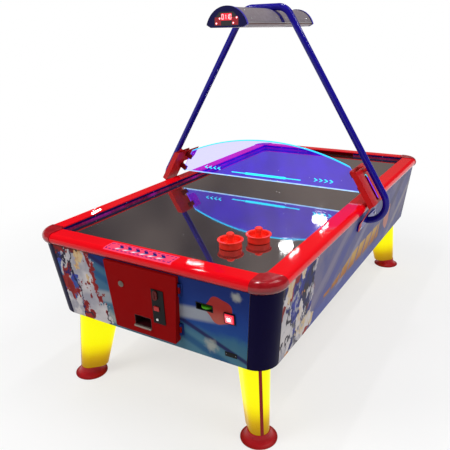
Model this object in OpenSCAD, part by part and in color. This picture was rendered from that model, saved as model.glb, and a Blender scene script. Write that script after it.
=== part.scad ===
// Coin-operated air hockey table with an overhead gantry, a scoring lamp and a clear centre shield.
// Millimetres. The origin is on the floor under the middle of the table. +X points right as seen
// from the coin door end, +Y points away from the coin door and +Z points up.

/* [Table] */
// Overall width over the side rails
table_w = 1250; // [1150:5:1350]
// Overall length over the end rails
table_l = 2316; // [2100:5:2500]
// Height of the rail tops above the floor
rail_top = 800; // [770:1:830]
// Depth of the playing surface below the rail tops
field_drop = 26; // [24:1:30]

/* [Rails] */
// Width of a rail
rail_w = 89; // [84:1:96]
// Height of a rail
rail_h = 50; // [46:1:56]
// Outside radius of a table corner
corner_r = 109; // [102:1:118]
// How far a corner cap stands proud of the rails
cap_proud = 3; // [1:0.5:4]
// Thickness of the rail lip over the puck wall
lip_t = 5; // [4:0.5:7]

/* [Cabinet] */
// Height of the cabinet panels
cabinet_h = 365; // [345:1:385]
// Thickness of a cabinet panel
panel_t = 18; // [15:0.5:20]
// Distance of the panel faces inside the rail edge at the top
top_inset = 16; // [12:1:20]
// Distance of the panel faces inside the rail edge at the bottom
bottom_inset = 55; // [45:1:62]
// Outside radius of a corner column
column_r = 93; // [86:1:98]
// Wall of a corner column
column_wall = 4; // [3:0.5:6]
// Thickness of the bottom board
board_t = 12; // [10:1:18]

/* [Playfield] */
// Thickness of the playing surface
field_t = 12; // [9:0.5:16]
// Distance between air holes
hole_pitch = 100; // [80:5:150]
// Diameter of an air hole
hole_d = 2; // [1.5:0.1:3]
// Thickness of the puck wall
wall_t = 10; // [8:0.5:12]
// Thickness of the red strip along the foot of the puck wall
trim_t = 4; // [3:0.5:6]
// Height of the red strip
trim_h = 7; // [5:0.5:9]
// Width of a goal
goal_w = 360; // [300:5:380]
// Depth of the air chamber below the playing surface
plenum_h = 54; // [48:1:60]

/* [Legs] */
// Distance of a foot centre from the side rail edge
leg_inset_x = 135; // [128:1:150]
// Distance of a foot centre from the end rail edge
leg_inset_y = 130; // [124:1:150]
// Radius of a foot
foot_r = 81; // [74:1:90]
// Height of a foot
foot_h = 46; // [40:1:50]
// Reach of a leg's top beyond the foot centre, towards the corner
leg_apex_top = 18; // [16:1:22]
// Reach of a leg's lower end beyond the foot centre, towards the corner
leg_apex_foot = 48; // [44:1:52]
// Half width of a leg at the top
leg_half_top = 64; // [62:1:70]
// Half width of a leg at the foot
leg_half_foot = 45; // [42:1:50]
// Length of a leg section at the top, along the corner's diagonal
leg_len_top = 205; // [195:1:215]
// Length of a leg section at the foot, along the corner's diagonal
leg_len_foot = 138; // [130:1:146]
// Wall of a leg cover
cover_wall = 3; // [2:0.5:4]
// Width of the leg's outer edge strip
strip_w = 14; // [12:1:20]

/* [Gantry] */
// Diameter of the gantry tube
tube_d = 36; // [32:1:40]
// Wall of the gantry tube
tube_wall = 2.5; // [2:0.1:3.5]
// Height of the tube's top run above the rails
gantry_h = 962; // [900:1:1050]
// Half length of the tube's straight top run
gantry_top_half = 74; // [62:1:90]
// Reach of the tube's axis outside the rail edge
gantry_reach = 77; // [72:1:90]
// Room between the tube and the air chamber's frame above it
entry_clear = 2; // [1:0.5:6]
// Bend radius at the side of the table
low_bend_r = 96; // [88:1:104]
// Bend radius at the top
top_bend_r = 80; // [70:1:90]
// Distance between the bolts of a gantry flange
flange_span = 270; // [240:5:300]
// Height of a gantry flange
flange_h = 44; // [42:1:52]
// Thickness of a gantry flange
flange_t = 8; // [6:0.5:10]

/* [Shield] */
// Thickness of the clear shield
shield_t = 6; // [5:0.5:8]
// Height of the shield's lower edge above the rails
shield_gap = 33; // [25:1:45]
// Height of the shield's crown above the rails
shield_crown = 266; // [240:1:290]
// Radius of the shield's arched edge
shield_r = 1312; // [1100:1:1500]
// Distance of the shield's ends from the tube axis
shield_end = 92; // [86:1:100]
// Distance of a bracket's outer face from the tube axis
bracket_out = 37; // [33:1:42]
// Thickness of a bracket
bracket_d = 30; // [24:1:34]
// Sheet thickness of a bracket
bracket_t = 2.5; // [2:0.1:3.5]
// Height of a bracket's upper edge above the rails
bracket_up = 166; // [150:1:180]
// Depth of a bracket's lower edge below the rails
bracket_down = 22; // [14:1:30]
// Distance of a bracket's near edge from the tube axis, along the table
bracket_near = 100; // [90:1:110]
// Reach of a bracket's upper flag past the tube axis, along the table
bracket_far = 115; // [100:1:130]

/* [Lamp] */
// Length of the scoring lamp
lamp_l = 800; // [700:5:900]
// Radius of the lamp's curved top
lamp_r = 111; // [106:1:114]
// Drop of the centre of the lamp's curve below the tube's axis
lamp_drop = 116; // [112:1:120]
// Thickness of the saddle strap over the lamp
strap_t = 2; // [1.5:0.1:3]
// Half width of the lamp at the bottom
lamp_half = 83; // [76:1:86]
// Height of the lamp's bottom above the centre of its curve
lamp_floor = 20; // [16:1:24]
// Height of the lamp's sloping lower side
lamp_skirt = 16; // [12:1:20]
// Sheet thickness of the lamp body
lamp_t = 2; // [1.5:0.1:3]
// Thickness of a lamp end cap
lamp_cap_t = 14; // [11:0.5:18]
// How far an end cap stands proud of the lamp body
lamp_cap_proud = 4; // [2:0.5:6]
// Width of the saddle strap
saddle_w = 32; // [24:1:40]

/* [Coin door] */
// Width of the coin door at the top
door_top_w = 384; // [370:1:395]
// Width of the coin door at the bottom
door_bottom_w = 324; // [314:1:334]
// Height of the coin door
door_h = 318; // [312:1:319]
// Height of the coin door's lower edge above the cabinet's bottom
door_lift = 46; // [40:1:47]
// How far the coin door's top stands proud of the panel
door_proud = 15; // [13:0.5:18]
// How far the coin door's bottom stands proud of the panel
door_foot = 36; // [32:0.5:40]
// Sheet thickness of the coin door
door_t = 2; // [1.5:0.1:2.5]
// Width of the coin plate
coin_plate_w = 62; // [56:1:70]
// Height of the coin plate
coin_plate_h = 160; // [150:1:170]
// Width of the coin return mouth
return_w = 86; // [80:1:92]
// Height of the coin return mouth
return_h = 44; // [38:1:50]
// Diameter of the lock's plug
plug_d = 12; // [10:0.5:14]
// Width of the reject button
reject_w = 26; // [20:1:30]
// Height of the reject button
reject_h = 20; // [16:1:24]

/* [Front panel] */
// Side of the start button
button_w = 36; // [32:1:40]
// Travel of the start button
button_travel = 4; // [3:0.5:6]
// Diameter of the puck
puck_d = 64; // [60:1:66]
// Thickness of the puck
puck_t = 9; // [7:0.5:11]
// Width of the puck outlet
outlet_w = 72; // [70:1:80]
// Height of the puck outlet
outlet_h = 26; // [22:1:30]

/* [Strikers] */
// Diameter of a striker's rim
striker_rim = 115; // [108:1:118]
// Diameter of a striker's body
striker_d = 100; // [90:1:104]
// Height of a striker's wall
striker_wall = 36; // [30:1:40]
// Height of a striker's knob
striker_h = 66; // [60:1:70]

/* [Blower] */
// Diameter of the blower housing
blower_d = 300; // [280:1:340]
// Height of the blower housing
blower_h = 110; // [100:1:120]
// Diameter of the motor shaft
shaft_d = 14; // [12:0.5:16]

/* [Hidden] */
$fn = 64;

// Clearances
// Room round a fitted piece
fit = 0.3;
// Radial room of a turning or sliding fit
run_fit = 0.05;
// Room between a panel's end and the corner column beside it
seam = 0.9;

// Table levels and plan sizes
half_w = table_w / 2;
half_l = table_l / 2;
rail_bottom = rail_top - rail_h;
lip_z = rail_top - lip_t;
field_z = rail_top - field_drop;
field_under = field_z - field_t;
plenum_z = field_under - plenum_h;
floor_t = 6;
cabinet_bottom = rail_bottom - cabinet_h;
wall_s = rail_w - wall_t - trim_t;
inner_x = half_w - rail_w;
inner_y = half_l - rail_w;
board_x = half_w - wall_s;
board_y = half_l - wall_s;

// Cabinet taper
lean = atan((bottom_inset - top_inset) / cabinet_h);
panel_reach = panel_t / cos(lean);
column_off = column_r / cos(lean);
column_tilt = atan(sqrt(2) * tan(lean));
column_top = rail_bottom - cap_proud;
bottom_x = half_w - bottom_inset - panel_reach - fit;
bottom_y = half_l - bottom_inset - panel_reach - fit;
column_x = half_w - bottom_inset - column_off;
column_y = half_l - bottom_inset - column_off;

// Air chamber frame
beam_in = rail_w + 4;
rib_t = 18;
rib_pitch = 500;
rib_notch_w = 160;
rib_notch_h = 30;

// Goals, chutes and puck outlets
goal_skin = 20;
chute_t = 2;
chute_w = puck_d + 10;
outlet_u = 303;
outlet_drop = 168;
outlet_z = rail_top - outlet_drop;
outlet_wall = 2;
outlet_bezel = 2;
outlet_bezel_t = 1;
outlet_depth = puck_d + 10;
chute_start = goal_w / 2 + chute_t;
chute_end = outlet_u - outlet_w / 2 - outlet_wall - fit;
chute_high = field_under - 32;
chute_low = outlet_z - outlet_h / 2 + 10;
chute_slope = (chute_high - chute_low) / (chute_end + chute_start);

function inset(z) = top_inset + (rail_bottom - z) * tan(lean);
function inside_s(z) = inset(z) + panel_reach;
beam_s = inside_s(plenum_z) + fit;
chute_s = inside_s(chute_low - chute_t) + 2;
chute_far = chute_s + chute_w + 2 * chute_t;
plenum_end = chute_far + 1;

// Screws in the puck wall
trim_head_r = 3;
trim_head_h = 1.6;
trim_shank_r = 1.5;

// Legs
foot_x = half_w - leg_inset_x;
foot_y = half_l - leg_inset_y;
leg_plate_t = 6;
post_w = 44;
post_wall = 3;
post_x = -56;
plate_x = [post_x - 66, post_x + post_w];
plate_half = 45;
leg_bolt_x = [post_x - 54, post_x + 32];
leg_bolt_y = 34;
light_size = [20, 6, 260];
light_lift = 40;
foot_rim = 4;
foot_neck = leg_apex_foot + 2;

// Bolts
bolt_r = 4;
bolt_head_r = 7;
bolt_head_h = 5;

// Gantry tube in the plane across the middle of the table
tube_r = tube_d / 2;
tube_z = rail_top + gantry_h;
entry_z = plenum_z - tube_r - entry_clear;
low_x = half_w + gantry_reach - low_bend_r;
low_z = entry_z + low_bend_r;
top_z = tube_z - top_bend_r;
centre_gap = norm([low_x - gantry_top_half, top_z - low_z]);
arm_lean = acos((top_bend_r - low_bend_r) / centre_gap) - atan2(top_z - low_z, low_x - gantry_top_half);
arm_x = low_x + low_bend_r * cos(arm_lean);
arm_z = low_z + low_bend_r * sin(arm_lean);
arm_l = centre_gap * sin(acos((top_bend_r - low_bend_r) / centre_gap));
tail_x = half_w - inside_s(entry_z) - 4;
spigot_l = 120;
tube_step = 0.4;
tube_lap = 3;
straight_r = tube_r - tube_step;
flange_half = flange_span / 2;

// Shield and its brackets, measured square to the tube's leaning run
bracket_in = bracket_out + bracket_d;
web_far = 12;
web_reach = 60;
shell_foot = 20;
bracket_top_z = rail_top + bracket_up;
bracket_low_z = rail_top - bracket_down;
flag_drop = 76;
flag_r = 25;
slot_y = -3;
slot_w = 36;
slot_t = [-9, 142];
spacer_r = 9;
spacer_t = 160;
tongue_w = 40;
pad_low_z = entry_z - flange_h / 2 + 3;
pad_top_z = entry_z + flange_h / 2 - 3;
clip_t = 2.5;
clip_h = 30;
clip_low = 50;
clip_high = 125;
clip_z = [rail_top + clip_low, rail_top + clip_high];
clip_m = shield_end + 8;
screw_r = 3;
shield_low = rail_top + shield_gap;
shield_top = rail_top + shield_crown;

// Lamp
lamp_z = tube_z - lamp_drop;
lamp_low = lamp_z + lamp_floor;
lamp_lip = 10;
lamp_inner_l = lamp_l - 2 * lamp_cap_t;
diffuser_t = 3;
window_t = 4;
window_half = 66;
window_low = 8;
window_side = 30;
window_h = 60;
window_top_half = 38;
light_tube_r = 8;
light_tube_x = 40;
lamp_notch = 1.5;

// Coin door, in the front panel's own plane
door_v = door_lift;
door_end_v = door_lift + door_h;
door_tilt = atan2(door_foot - door_proud, door_h);
door_flare = atan2((door_top_w - door_bottom_w) / 2, door_h);
cut_half = door_bottom_w / 2 - 28;
cut_v = door_v + 22;
cut_end_v = door_end_v - 64;
frame_t = 2;
knuckle_r = 5;
pin_r = 2.5;
hinge_gap = 6;
hinge_w = 6;
hinge_half = 30;
knuckle_half = 15;
leaf_w = 14;
hinge_spots = [60, door_h - 60];

// Coin door, on its sloping face
lock_u = -105;
lock_y = 222;
lock_deep = panel_t + door_foot - lock_y * sin(door_tilt);
barrel_r = plug_d / 2 + 5;
lock_flange_r = barrel_r + 3;
lock_flange_t = 2.5;
cam_l = 60;
cam_w = 14;
cam_t = 3;
cam_back = lock_deep + 4;
coin_u = 89;
coin_y = 159;
coin_plate_t = 3;
entry_w = 24;
entry_h = 44;
entry_proud = 5;
entry_slot = [3, 28];
entry_at = [-10, 54];
reject_at = [-8, -8];
reject_proud = 4;
reject_travel = 3;
return_u = -4;
return_y = 65;
cup_t = 1.5;
cup_depth = 48;
cup_lip = 9;
validator_size = [64, 138, 72];
cash_size = [200, 180, 90];
cash_t = 2;
cash_x = 70;
cash_s = 120;

// Start button and power inlet
button_u = 418;
button_v = 228;
bezel_w = button_w + 12;
bezel_t = 6;
button_body_wall = 2;
button_body_d = 45;
button_l = 20;
inlet_u = 400;
inlet_v = 50;
inlet_size = [66, 36, 34];
inlet_bezel_t = 3;
rocker_size = [12, 19];
rocker_u = 18;
rocker_tilt = 10;
rocker_pin_r = 1.5;

// Blower under the air chamber
blower_y = 400;
blower_wall = 3;
blower_rim = 15;
blower_hole_r = 70;
blower_top = plenum_z - floor_t;
blower_low = blower_top - blower_h;
motor_r = 60;
motor_h = 95;
motor_spigot_r = 30;
bearing_l = 57;
impeller_r = 120;
impeller_t = 3;
impeller_low = blower_low + 16;
hub_r = 25;
hub_h = 50;
blades = 10;
inlet_holes = 6;
inlet_hole_r = 25;
inlet_ring_r = (motor_r + blower_d / 2) / 2 - 10;

// Strikers on the playing surface
striker_1_in = 229;
striker_2_in = 343;
striker_spots = [[257, striker_1_in - inner_y], [335, striker_2_in - inner_y]];

function side_half(i) = i % 2 == 0 ? half_l : half_w;
function cross_half(i) = i % 2 == 0 ? half_w : half_l;
function up(z) = (z - cabinet_bottom) / cos(lean);
function panel_edge(i, v) = cross_half(i) - bottom_inset - column_off - seam + v * sin(lean);
function flange_face(z, w) = half_w - inset(z) + w / cos(lean);
function arm_t(z, m) = (z - arm_z + m * sin(arm_lean)) / cos(arm_lean);
function arm_line(z, m) = arm_x - (z - arm_z) * tan(arm_lean) - m / cos(arm_lean);

// Places the children on cabinet side i: x to the right, y up the face, z out of the face
module on_side(i) {
    rotate([0, 0, 90 * i])
        translate([0, bottom_inset - side_half(i), cabinet_bottom])
            rotate([90 + lean, 0, 0])
                children();
}

// Places the children at table edge i: x to the right, y inwards from the rail edge, z from the floor
module on_edge(i) {
    rotate([0, 0, 90 * i])
        translate([0, -side_half(i), 0])
            children();
}

// Repeats the children, drawn for the right rear corner, at all four corners
module at_corners() {
    for (sx = [0, 1])
        for (sy = [0, 1])
            mirror([sx, 0, 0])
                mirror([0, sy, 0])
                    children();
}

// Places the children on the right gantry arm: z along the tube, -x square to it towards the table
module on_arm() {
    translate([arm_x, 0, arm_z])
        rotate([0, -arm_lean, 0])
            children();
}

module box(low, high) {
    translate(low)
        cube(high - low);
}

module slab(low, high) {
    box([-table_w, -table_l, low], [table_w, table_l, high]);
}

// Draws the children upright, with the outline's x along X and its y along Z
module upright(thickness) {
    rotate([90, 0, 0])
        linear_extrude(thickness, center = true)
            children();
}

// Cabinet

module panel_blank(i) {
    low = -panel_t;
    high = up(rail_bottom) + panel_t;
    intersection() {
        on_side(i)
            translate([0, 0, -panel_t])
                linear_extrude(panel_t)
                    polygon([
                        [-panel_edge(i, low), low], [panel_edge(i, low), low],
                        [panel_edge(i, high), high], [-panel_edge(i, high), high]
                    ]);
        slab(cabinet_bottom, rail_bottom);
    }
}

module through_panel(u, v, width, height) {
    translate([u, v, 0])
        cube([width, height, 4 * panel_t], center = true);
}

module outlet_hole() {
    through_panel(outlet_u, up(outlet_z), outlet_w + 2 * (outlet_wall + fit),
                  outlet_h + 2 * (outlet_wall + fit));
}

module panel_front() {
    button_hole = button_w + 2 * (button_body_wall + 2 * fit);
    color("royalblue")
        difference() {
            panel_blank(0);
            on_side(0) {
                through_panel(0, (cut_v + cut_end_v) / 2, 2 * cut_half, cut_end_v - cut_v);
                through_panel(button_u, button_v, button_hole, button_hole);
                outlet_hole();
            }
        }
}

module panel_rear() {
    color("royalblue")
        difference() {
            panel_blank(2);
            on_side(2) {
                outlet_hole();
                through_panel(inlet_u, inlet_v, inlet_size[0] - 8 + 2 * fit, inlet_size[1] - 8 + 2 * fit);
            }
        }
}

// Cuts for the gantry tube and its flange bolts on the right side
module gantry_holes() {
    translate([tail_x - panel_t, 0, entry_z])
        rotate([0, 90, 0])
            cylinder(r = tube_r + fit, h = 6 * panel_t);
    on_side(1)
        for (u = [-flange_half, flange_half])
            translate([u, up(entry_z), -2 * panel_t])
                cylinder(r = bolt_r + fit, h = 4 * panel_t);
}

module panel_right() {
    color("slategray")
        difference() {
            panel_blank(1);
            gantry_holes();
        }
}

module panel_left() {
    mirror([1, 0, 0])
        panel_right();
}

module corner_column() {
    length = 2 * cabinet_h;
    intersection() {
        translate([column_x, column_y, cabinet_bottom])
            rotate([0, column_tilt, 45])
                translate([0, 0, -length / 4])
                    intersection() {
                        difference() {
                            cylinder(r = column_r, h = length);
                            cylinder(r = column_r - column_wall, h = length);
                        }
                        rotate([0, 0, -45])
                            cube([2 * column_r, 2 * column_r, length]);
                    }
        slab(cabinet_bottom, column_top);
    }
}

module corner_columns() {
    color("midnightblue")
        at_corners()
            corner_column();
}

module at_leg_bolts() {
    for (x = leg_bolt_x)
        for (y = [-leg_bolt_y, leg_bolt_y])
            translate([x, y, 0])
                children();
}

module on_leg() {
    translate([foot_x, foot_y, 0])
        rotate([0, 0, 45])
            children();
}

// Outline of the bottom board, with its corners rounded inside the columns
module board_outline() {
    corner = bottom_x - column_x;
    polygon([
        for (q = [0 : 3])
            for (a = [0 : 15 : 90])
                [
                    (q % 3 == 0 ? 1 : -1) * column_x + corner * cos(90 * q + a),
                    (q < 2 ? 1 : -1) * column_y + corner * sin(90 * q + a)
                ]
    ]);
}

module bottom_board() {
    color("tan")
        difference() {
            translate([0, 0, cabinet_bottom])
                linear_extrude(board_t)
                    board_outline();
            at_corners()
                on_leg()
                    at_leg_bolts()
                        translate([0, 0, cabinet_bottom - board_t])
                            cylinder(r = bolt_r + fit, h = 3 * board_t);
            translate([0, blower_y, cabinet_bottom])
                inlet_ring(-board_t, 3 * board_t);
        }
}

// Air chamber

module end_beams(i) {
    inner = half_w - beam_in;
    on_edge(i)
        for (m = [0, 1])
            mirror([m, 0, 0]) {
                box([chute_start + fit, beam_s, plenum_z], [inner, beam_in, rail_bottom]);
                box([chute_start + fit, wall_s, plenum_z], [inner, beam_in, field_under]);
            }
}

module side_beam(i) {
    on_edge(i) {
        box([-board_y, beam_s, plenum_z], [board_y, wall_s, rail_bottom]);
        box([-board_y, wall_s, plenum_z], [board_y, beam_in, field_under]);
    }
}

module cross_rib(y, notched) {
    inner = half_w - beam_in;
    difference() {
        box([-inner, y - rib_t / 2, plenum_z], [inner, y + rib_t / 2, field_under]);
        if (notched)
            for (x = [-inner / 2, 0, inner / 2])
                box([x - rib_notch_w / 2, y - rib_t, plenum_z - 1],
                    [x + rib_notch_w / 2, y + rib_t, plenum_z + rib_notch_h]);
    }
}

module top_frame() {
    last_rib = half_l - plenum_end - rib_t / 2;
    color("burlywood") {
        union() {
            for (i = [0, 2])
                end_beams(i);
            for (i = [1, 3])
                side_beam(i);
            for (y = [-rib_pitch, 0, rib_pitch])
                cross_rib(y, true);
            for (y = [-last_rib, last_rib])
                cross_rib(y, false);
        }
    }
}

module plenum_floor() {
    floor_x = half_w - beam_in + rib_t;
    floor_y = half_l - plenum_end;
    color("tan")
        difference() {
            box([-floor_x, -floor_y, plenum_z - floor_t], [floor_x, floor_y, plenum_z]);
            translate([0, blower_y, plenum_z - 2 * floor_t])
                cylinder(r = blower_hole_r, h = 3 * floor_t);
        }
}

module air_holes() {
    count_x = floor((half_w - beam_in - rib_t) / hole_pitch);
    count_y = floor((half_l - plenum_end - 2 * rib_t) / hole_pitch - 0.5);
    for (i = [-count_x : count_x])
        for (j = [-count_y - 1 : count_y])
            translate([i * hole_pitch, (j + 0.5) * hole_pitch, field_under - 1])
                cylinder(d = hole_d, h = field_t + 2, $fn = 16);
}

module playfield() {
    color("dimgray")
        difference() {
            box([-board_x, -board_y, field_under], [board_x, board_y, field_z]);
            for (i = [0, 2])
                on_edge(i)
                    box([-goal_w / 2, 0, field_under - 1], [goal_w / 2, rail_w, field_z + 1]);
            air_holes();
        }
}

// Ring of round air inlets under the blower
module inlet_ring(low, height) {
    for (k = [0 : inlet_holes - 1])
        rotate([0, 0, k * 360 / inlet_holes])
            translate([inlet_ring_r, 0, low])
                cylinder(r = inlet_hole_r, h = height);
}

module blower_housing() {
    can_r = blower_d / 2;
    color("darkgray")
        translate([0, blower_y, blower_low])
            difference() {
                union() {
                    cylinder(r = can_r, h = blower_h);
                    translate([0, 0, blower_h - blower_wall])
                        cylinder(r = can_r + blower_rim, h = blower_wall);
                }
                translate([0, 0, blower_wall])
                    cylinder(r = can_r - blower_wall, h = blower_h);
                translate([0, 0, -1])
                    cylinder(r = motor_spigot_r + fit, h = blower_h);
                inlet_ring(-1, blower_h / 2);
            }
}

module blower_motor() {
    color("black")
        translate([0, blower_y, blower_low])
            difference() {
                union() {
                    translate([0, 0, -motor_h])
                        cylinder(r = motor_r, h = motor_h);
                    translate([0, 0, -1])
                        cylinder(r = motor_spigot_r, h = blower_wall + 1);
                }
                translate([0, 0, -bearing_l])
                    cylinder(r = shaft_d / 2 + run_fit, h = bearing_l + 2 * blower_wall);
            }
}

module blower_impeller() {
    shaft_low = blower_low - bearing_l + fit;
    color("silver")
        translate([0, blower_y, 0]) {
            translate([0, 0, shaft_low])
                cylinder(d = shaft_d, h = impeller_low + hub_h - shaft_low);
            translate([0, 0, impeller_low])
                cylinder(r = hub_r, h = hub_h);
            translate([0, 0, impeller_low])
                cylinder(r = impeller_r, h = impeller_t);
            for (k = [0 : blades - 1])
                rotate([0, 0, k * 360 / blades])
                    translate([impeller_r / 2, -impeller_t / 2, impeller_low])
                        cube([impeller_r / 2 - impeller_t, impeller_t, hub_h]);
        }
}

// Rails and field edges

module rail_section() {
    round_r = rail_h / 2;
    translate([round_r, round_r])
        circle(r = round_r);
    translate([round_r, 0])
        square([wall_s - round_r, rail_h]);
    translate([round_r, rail_h - lip_t])
        square([rail_w - round_r, lip_t]);
}

module rail(i) {
    reach = cross_half(i) - corner_r;
    on_edge(i)
        translate([-reach, 0, rail_bottom])
            rotate([90, 0, 90])
                linear_extrude(2 * reach)
                    rail_section();
}

module end_rail(i) {
    difference() {
        rail(i);
        on_edge(i) {
            box([-goal_w / 2, goal_skin, rail_bottom - 1], [goal_w / 2, 2 * rail_w, lip_z]);
            box([-chute_start - fit, chute_s - fit, rail_bottom - 1], [0, 2 * rail_w, field_under]);
        }
    }
}

module rail_front() {
    color("red")
        end_rail(0);
}

module rail_rear() {
    color("red")
        end_rail(2);
}

module rail_right() {
    color("red")
        rail(1);
}

module rail_left() {
    color("red")
        rail(3);
}

module corner_cap() {
    round_r = rail_h / 2;
    difference() {
        translate([half_w - corner_r, half_l - corner_r, 0])
            rotate_extrude(angle = 90) {
                translate([corner_r - round_r, rail_bottom + round_r])
                    circle(r = round_r + cap_proud);
                translate([corner_r - rail_w, rail_bottom])
                    square([rail_w - round_r, rail_h + cap_proud]);
            }
        box([0, 0, 0], [board_x, board_y, lip_z]);
        box([0, 0, 0], [half_w - beam_s + fit, board_y + fit, rail_bottom]);
        box([0, 0, 0], [half_w - beam_in + fit, half_l - beam_s + fit, rail_bottom]);
    }
}

module corner_caps() {
    color("firebrick")
        at_corners()
            corner_cap();
}

// Repeats the children along the puck walls: x along the wall, y into the field, z up the wall
module at_trim_screws() {
    screw_z = (field_z + trim_h + lip_z) / 2;
    for (i = [0 : 3]) {
        reach = cross_half(i) - rail_w;
        count = i % 2 == 0 ? 2 : 4;
        pitch = i % 2 == 0 ? (reach - goal_w / 2) / 2.5 : reach / 4.5;
        first = i % 2 == 0 ? goal_w / 2 + pitch / 2 : pitch / 2;
        on_edge(i)
            for (m = [0, 1])
                for (k = [0 : count - 1])
                    mirror([m, 0, 0])
                        translate([first + k * pitch, wall_s + wall_t, screw_z])
                            rotate([-90, 0, 0])
                                children();
    }
}

module field_walls() {
    wall_end = half_w - wall_s - wall_t;
    color("midnightblue")
        difference() {
            union() {
                for (i = [1, 3])
                    on_edge(i)
                        box([-board_y, wall_s, field_z], [board_y, wall_s + wall_t, lip_z]);
                for (i = [0, 2])
                    on_edge(i)
                        for (m = [0, 1])
                            mirror([m, 0, 0])
                                box([goal_w / 2, wall_s, field_z], [wall_end, wall_s + wall_t, lip_z]);
            }
            at_trim_screws()
                translate([0, 0, -wall_t])
                    cylinder(r = trim_shank_r + fit, h = 2 * wall_t);
        }
}

module field_trim() {
    trim_end = half_l - wall_s - wall_t;
    color("firebrick") {
        for (i = [1, 3])
            on_edge(i)
                box([-trim_end, wall_s + wall_t, field_z], [trim_end, rail_w, field_z + trim_h]);
        for (i = [0, 2])
            on_edge(i)
                for (m = [0, 1])
                    mirror([m, 0, 0])
                        box([goal_w / 2, wall_s + wall_t, field_z], [inner_x, rail_w, field_z + trim_h]);
    }
}

module trim_screws() {
    color("silver")
        at_trim_screws() {
            cylinder(r = trim_head_r, h = trim_head_h);
            translate([0, 0, 1 - wall_t])
                cylinder(r = trim_shank_r, h = wall_t);
        }
}

// Goals and puck outlets

module goal_chute(i) {
    gate = goal_w / 2;
    gate_z = chute_high - chute_slope * (gate + chute_start);
    side = [
        [-chute_start, chute_high - chute_t], [chute_end, chute_low - chute_t],
        [chute_end, chute_low + outlet_h], [gate, gate_z + outlet_h],
        [gate, field_under], [-chute_start, field_under]
    ];
    floor_line = [
        [-chute_start, chute_high - chute_t], [chute_end, chute_low - chute_t],
        [chute_end, chute_low], [-chute_start, chute_high]
    ];
    on_edge(i) {
        for (s = [chute_s, chute_far - chute_t])
            translate([0, s + chute_t / 2, 0])
                upright(chute_t)
                    polygon(side);
        translate([0, (chute_s + chute_far) / 2, 0])
            upright(chute_far - chute_s)
                polygon(floor_line);
        box([-chute_start, chute_s, chute_high - chute_t],
            [-chute_start + chute_t, chute_far, field_under]);
    }
}

module goal_chutes() {
    color("gray")
        for (i = [0, 2])
            goal_chute(i);
}

module puck_outlet(i) {
    sleeve_w = outlet_w + 2 * outlet_wall;
    sleeve_h = outlet_h + 2 * outlet_wall;
    on_side(i)
        translate([outlet_u, up(outlet_z), 0])
            difference() {
                union() {
                    translate([0, 0, outlet_bezel_t / 2])
                        cube([sleeve_w + 2 * outlet_bezel, sleeve_h + 2 * outlet_bezel, outlet_bezel_t],
                             center = true);
                    translate([0, 0, -outlet_depth / 2])
                        cube([sleeve_w, sleeve_h, outlet_depth], center = true);
                }
                translate([0, 0, -outlet_depth / 2])
                    cube([outlet_w, outlet_h, 2 * outlet_depth], center = true);
                translate([-outlet_w / 2, 0, -panel_t - outlet_depth / 2 - 4])
                    cube([4 * outlet_wall, outlet_h, outlet_depth], center = true);
            }
}

module puck_outlets() {
    color("black")
        for (i = [0, 2])
            puck_outlet(i);
}

module puck() {
    edge = 1;
    r = puck_d / 2;
    color("limegreen")
        on_side(0)
            translate([outlet_u, up(outlet_z) - outlet_h / 2 + fit, -r - 2])
                rotate([-90, 0, 0])
                    rotate_extrude()
                        polygon([
                            [0, 0], [r - edge, 0], [r, edge], [r, puck_t - edge], [r - edge, puck_t],
                            [0, puck_t]
                        ]);
}

// Legs

module leg_disc(reach, half, length, z) {
    for (x = [reach - half, reach - length + half])
        translate([x, 0, z])
            cylinder(r = half, h = 1, $fn = 48);
}

module leg_shape(shrink, low, high) {
    hull() {
        leg_disc(leg_apex_top - shrink, leg_half_top - shrink, leg_len_top - 2 * shrink, high - 1);
        leg_disc(leg_apex_foot - shrink, leg_half_foot - shrink, leg_len_foot - 2 * shrink, low);
    }
}

module leg_cover() {
    difference() {
        leg_shape(0, foot_h, cabinet_bottom);
        leg_shape(cover_wall, foot_h - 1, cabinet_bottom + 1);
        box([0, -strip_w / 2 - fit, 0], [2 * leg_apex_foot, strip_w / 2 + fit, 2 * cabinet_bottom]);
    }
}

module leg_covers() {
    color("yellow")
        at_corners()
            on_leg()
                leg_cover();
}

module leg_post() {
    plate_low = cabinet_bottom - leg_plate_t;
    tube_half = post_w / 2;
    difference() {
        box([post_x, -tube_half, foot_h], [post_x + post_w, tube_half, plate_low]);
        box([post_x + post_wall, post_wall - tube_half, foot_h - 1],
            [post_x + post_w - post_wall, tube_half - post_wall, plate_low + 1]);
    }
    rotate([90, 0, 0])
        translate([0, 0, -strip_w / 2])
            linear_extrude(strip_w)
                polygon([
                    [post_x + post_w, foot_h], [leg_apex_foot + 1, foot_h],
                    [leg_apex_top + 1, plate_low], [post_x + post_w, plate_low]
                ]);
    difference() {
        box([plate_x[0], -plate_half, plate_low], [plate_x[1], plate_half, cabinet_bottom]);
        at_leg_bolts()
            translate([0, 0, plate_low - 1])
                cylinder(r = bolt_r + fit, h = leg_plate_t + 2);
    }
}

module leg_posts() {
    color("firebrick")
        at_corners()
            on_leg()
                leg_post();
}

module feet() {
    color("firebrick")
        at_corners()
            on_leg()
                rotate_extrude()
                    polygon([
                        [0, 0], [foot_r - 1, 0], [foot_r, 1],
                        for (a = [0 : 15 : 90])
                            [
                                foot_r - (foot_r - foot_neck) * sin(a),
                                foot_h - (foot_h - foot_rim) * cos(a)
                            ],
                        [0, foot_h]
                    ]);
}

module leg_lights() {
    color("lightyellow")
        at_corners()
            on_leg()
                for (m = [0, 1])
                    mirror([0, m, 0])
                        translate([post_x + (post_w - light_size[0]) / 2, post_w / 2, foot_h + light_lift])
                            cube(light_size);
}

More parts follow.
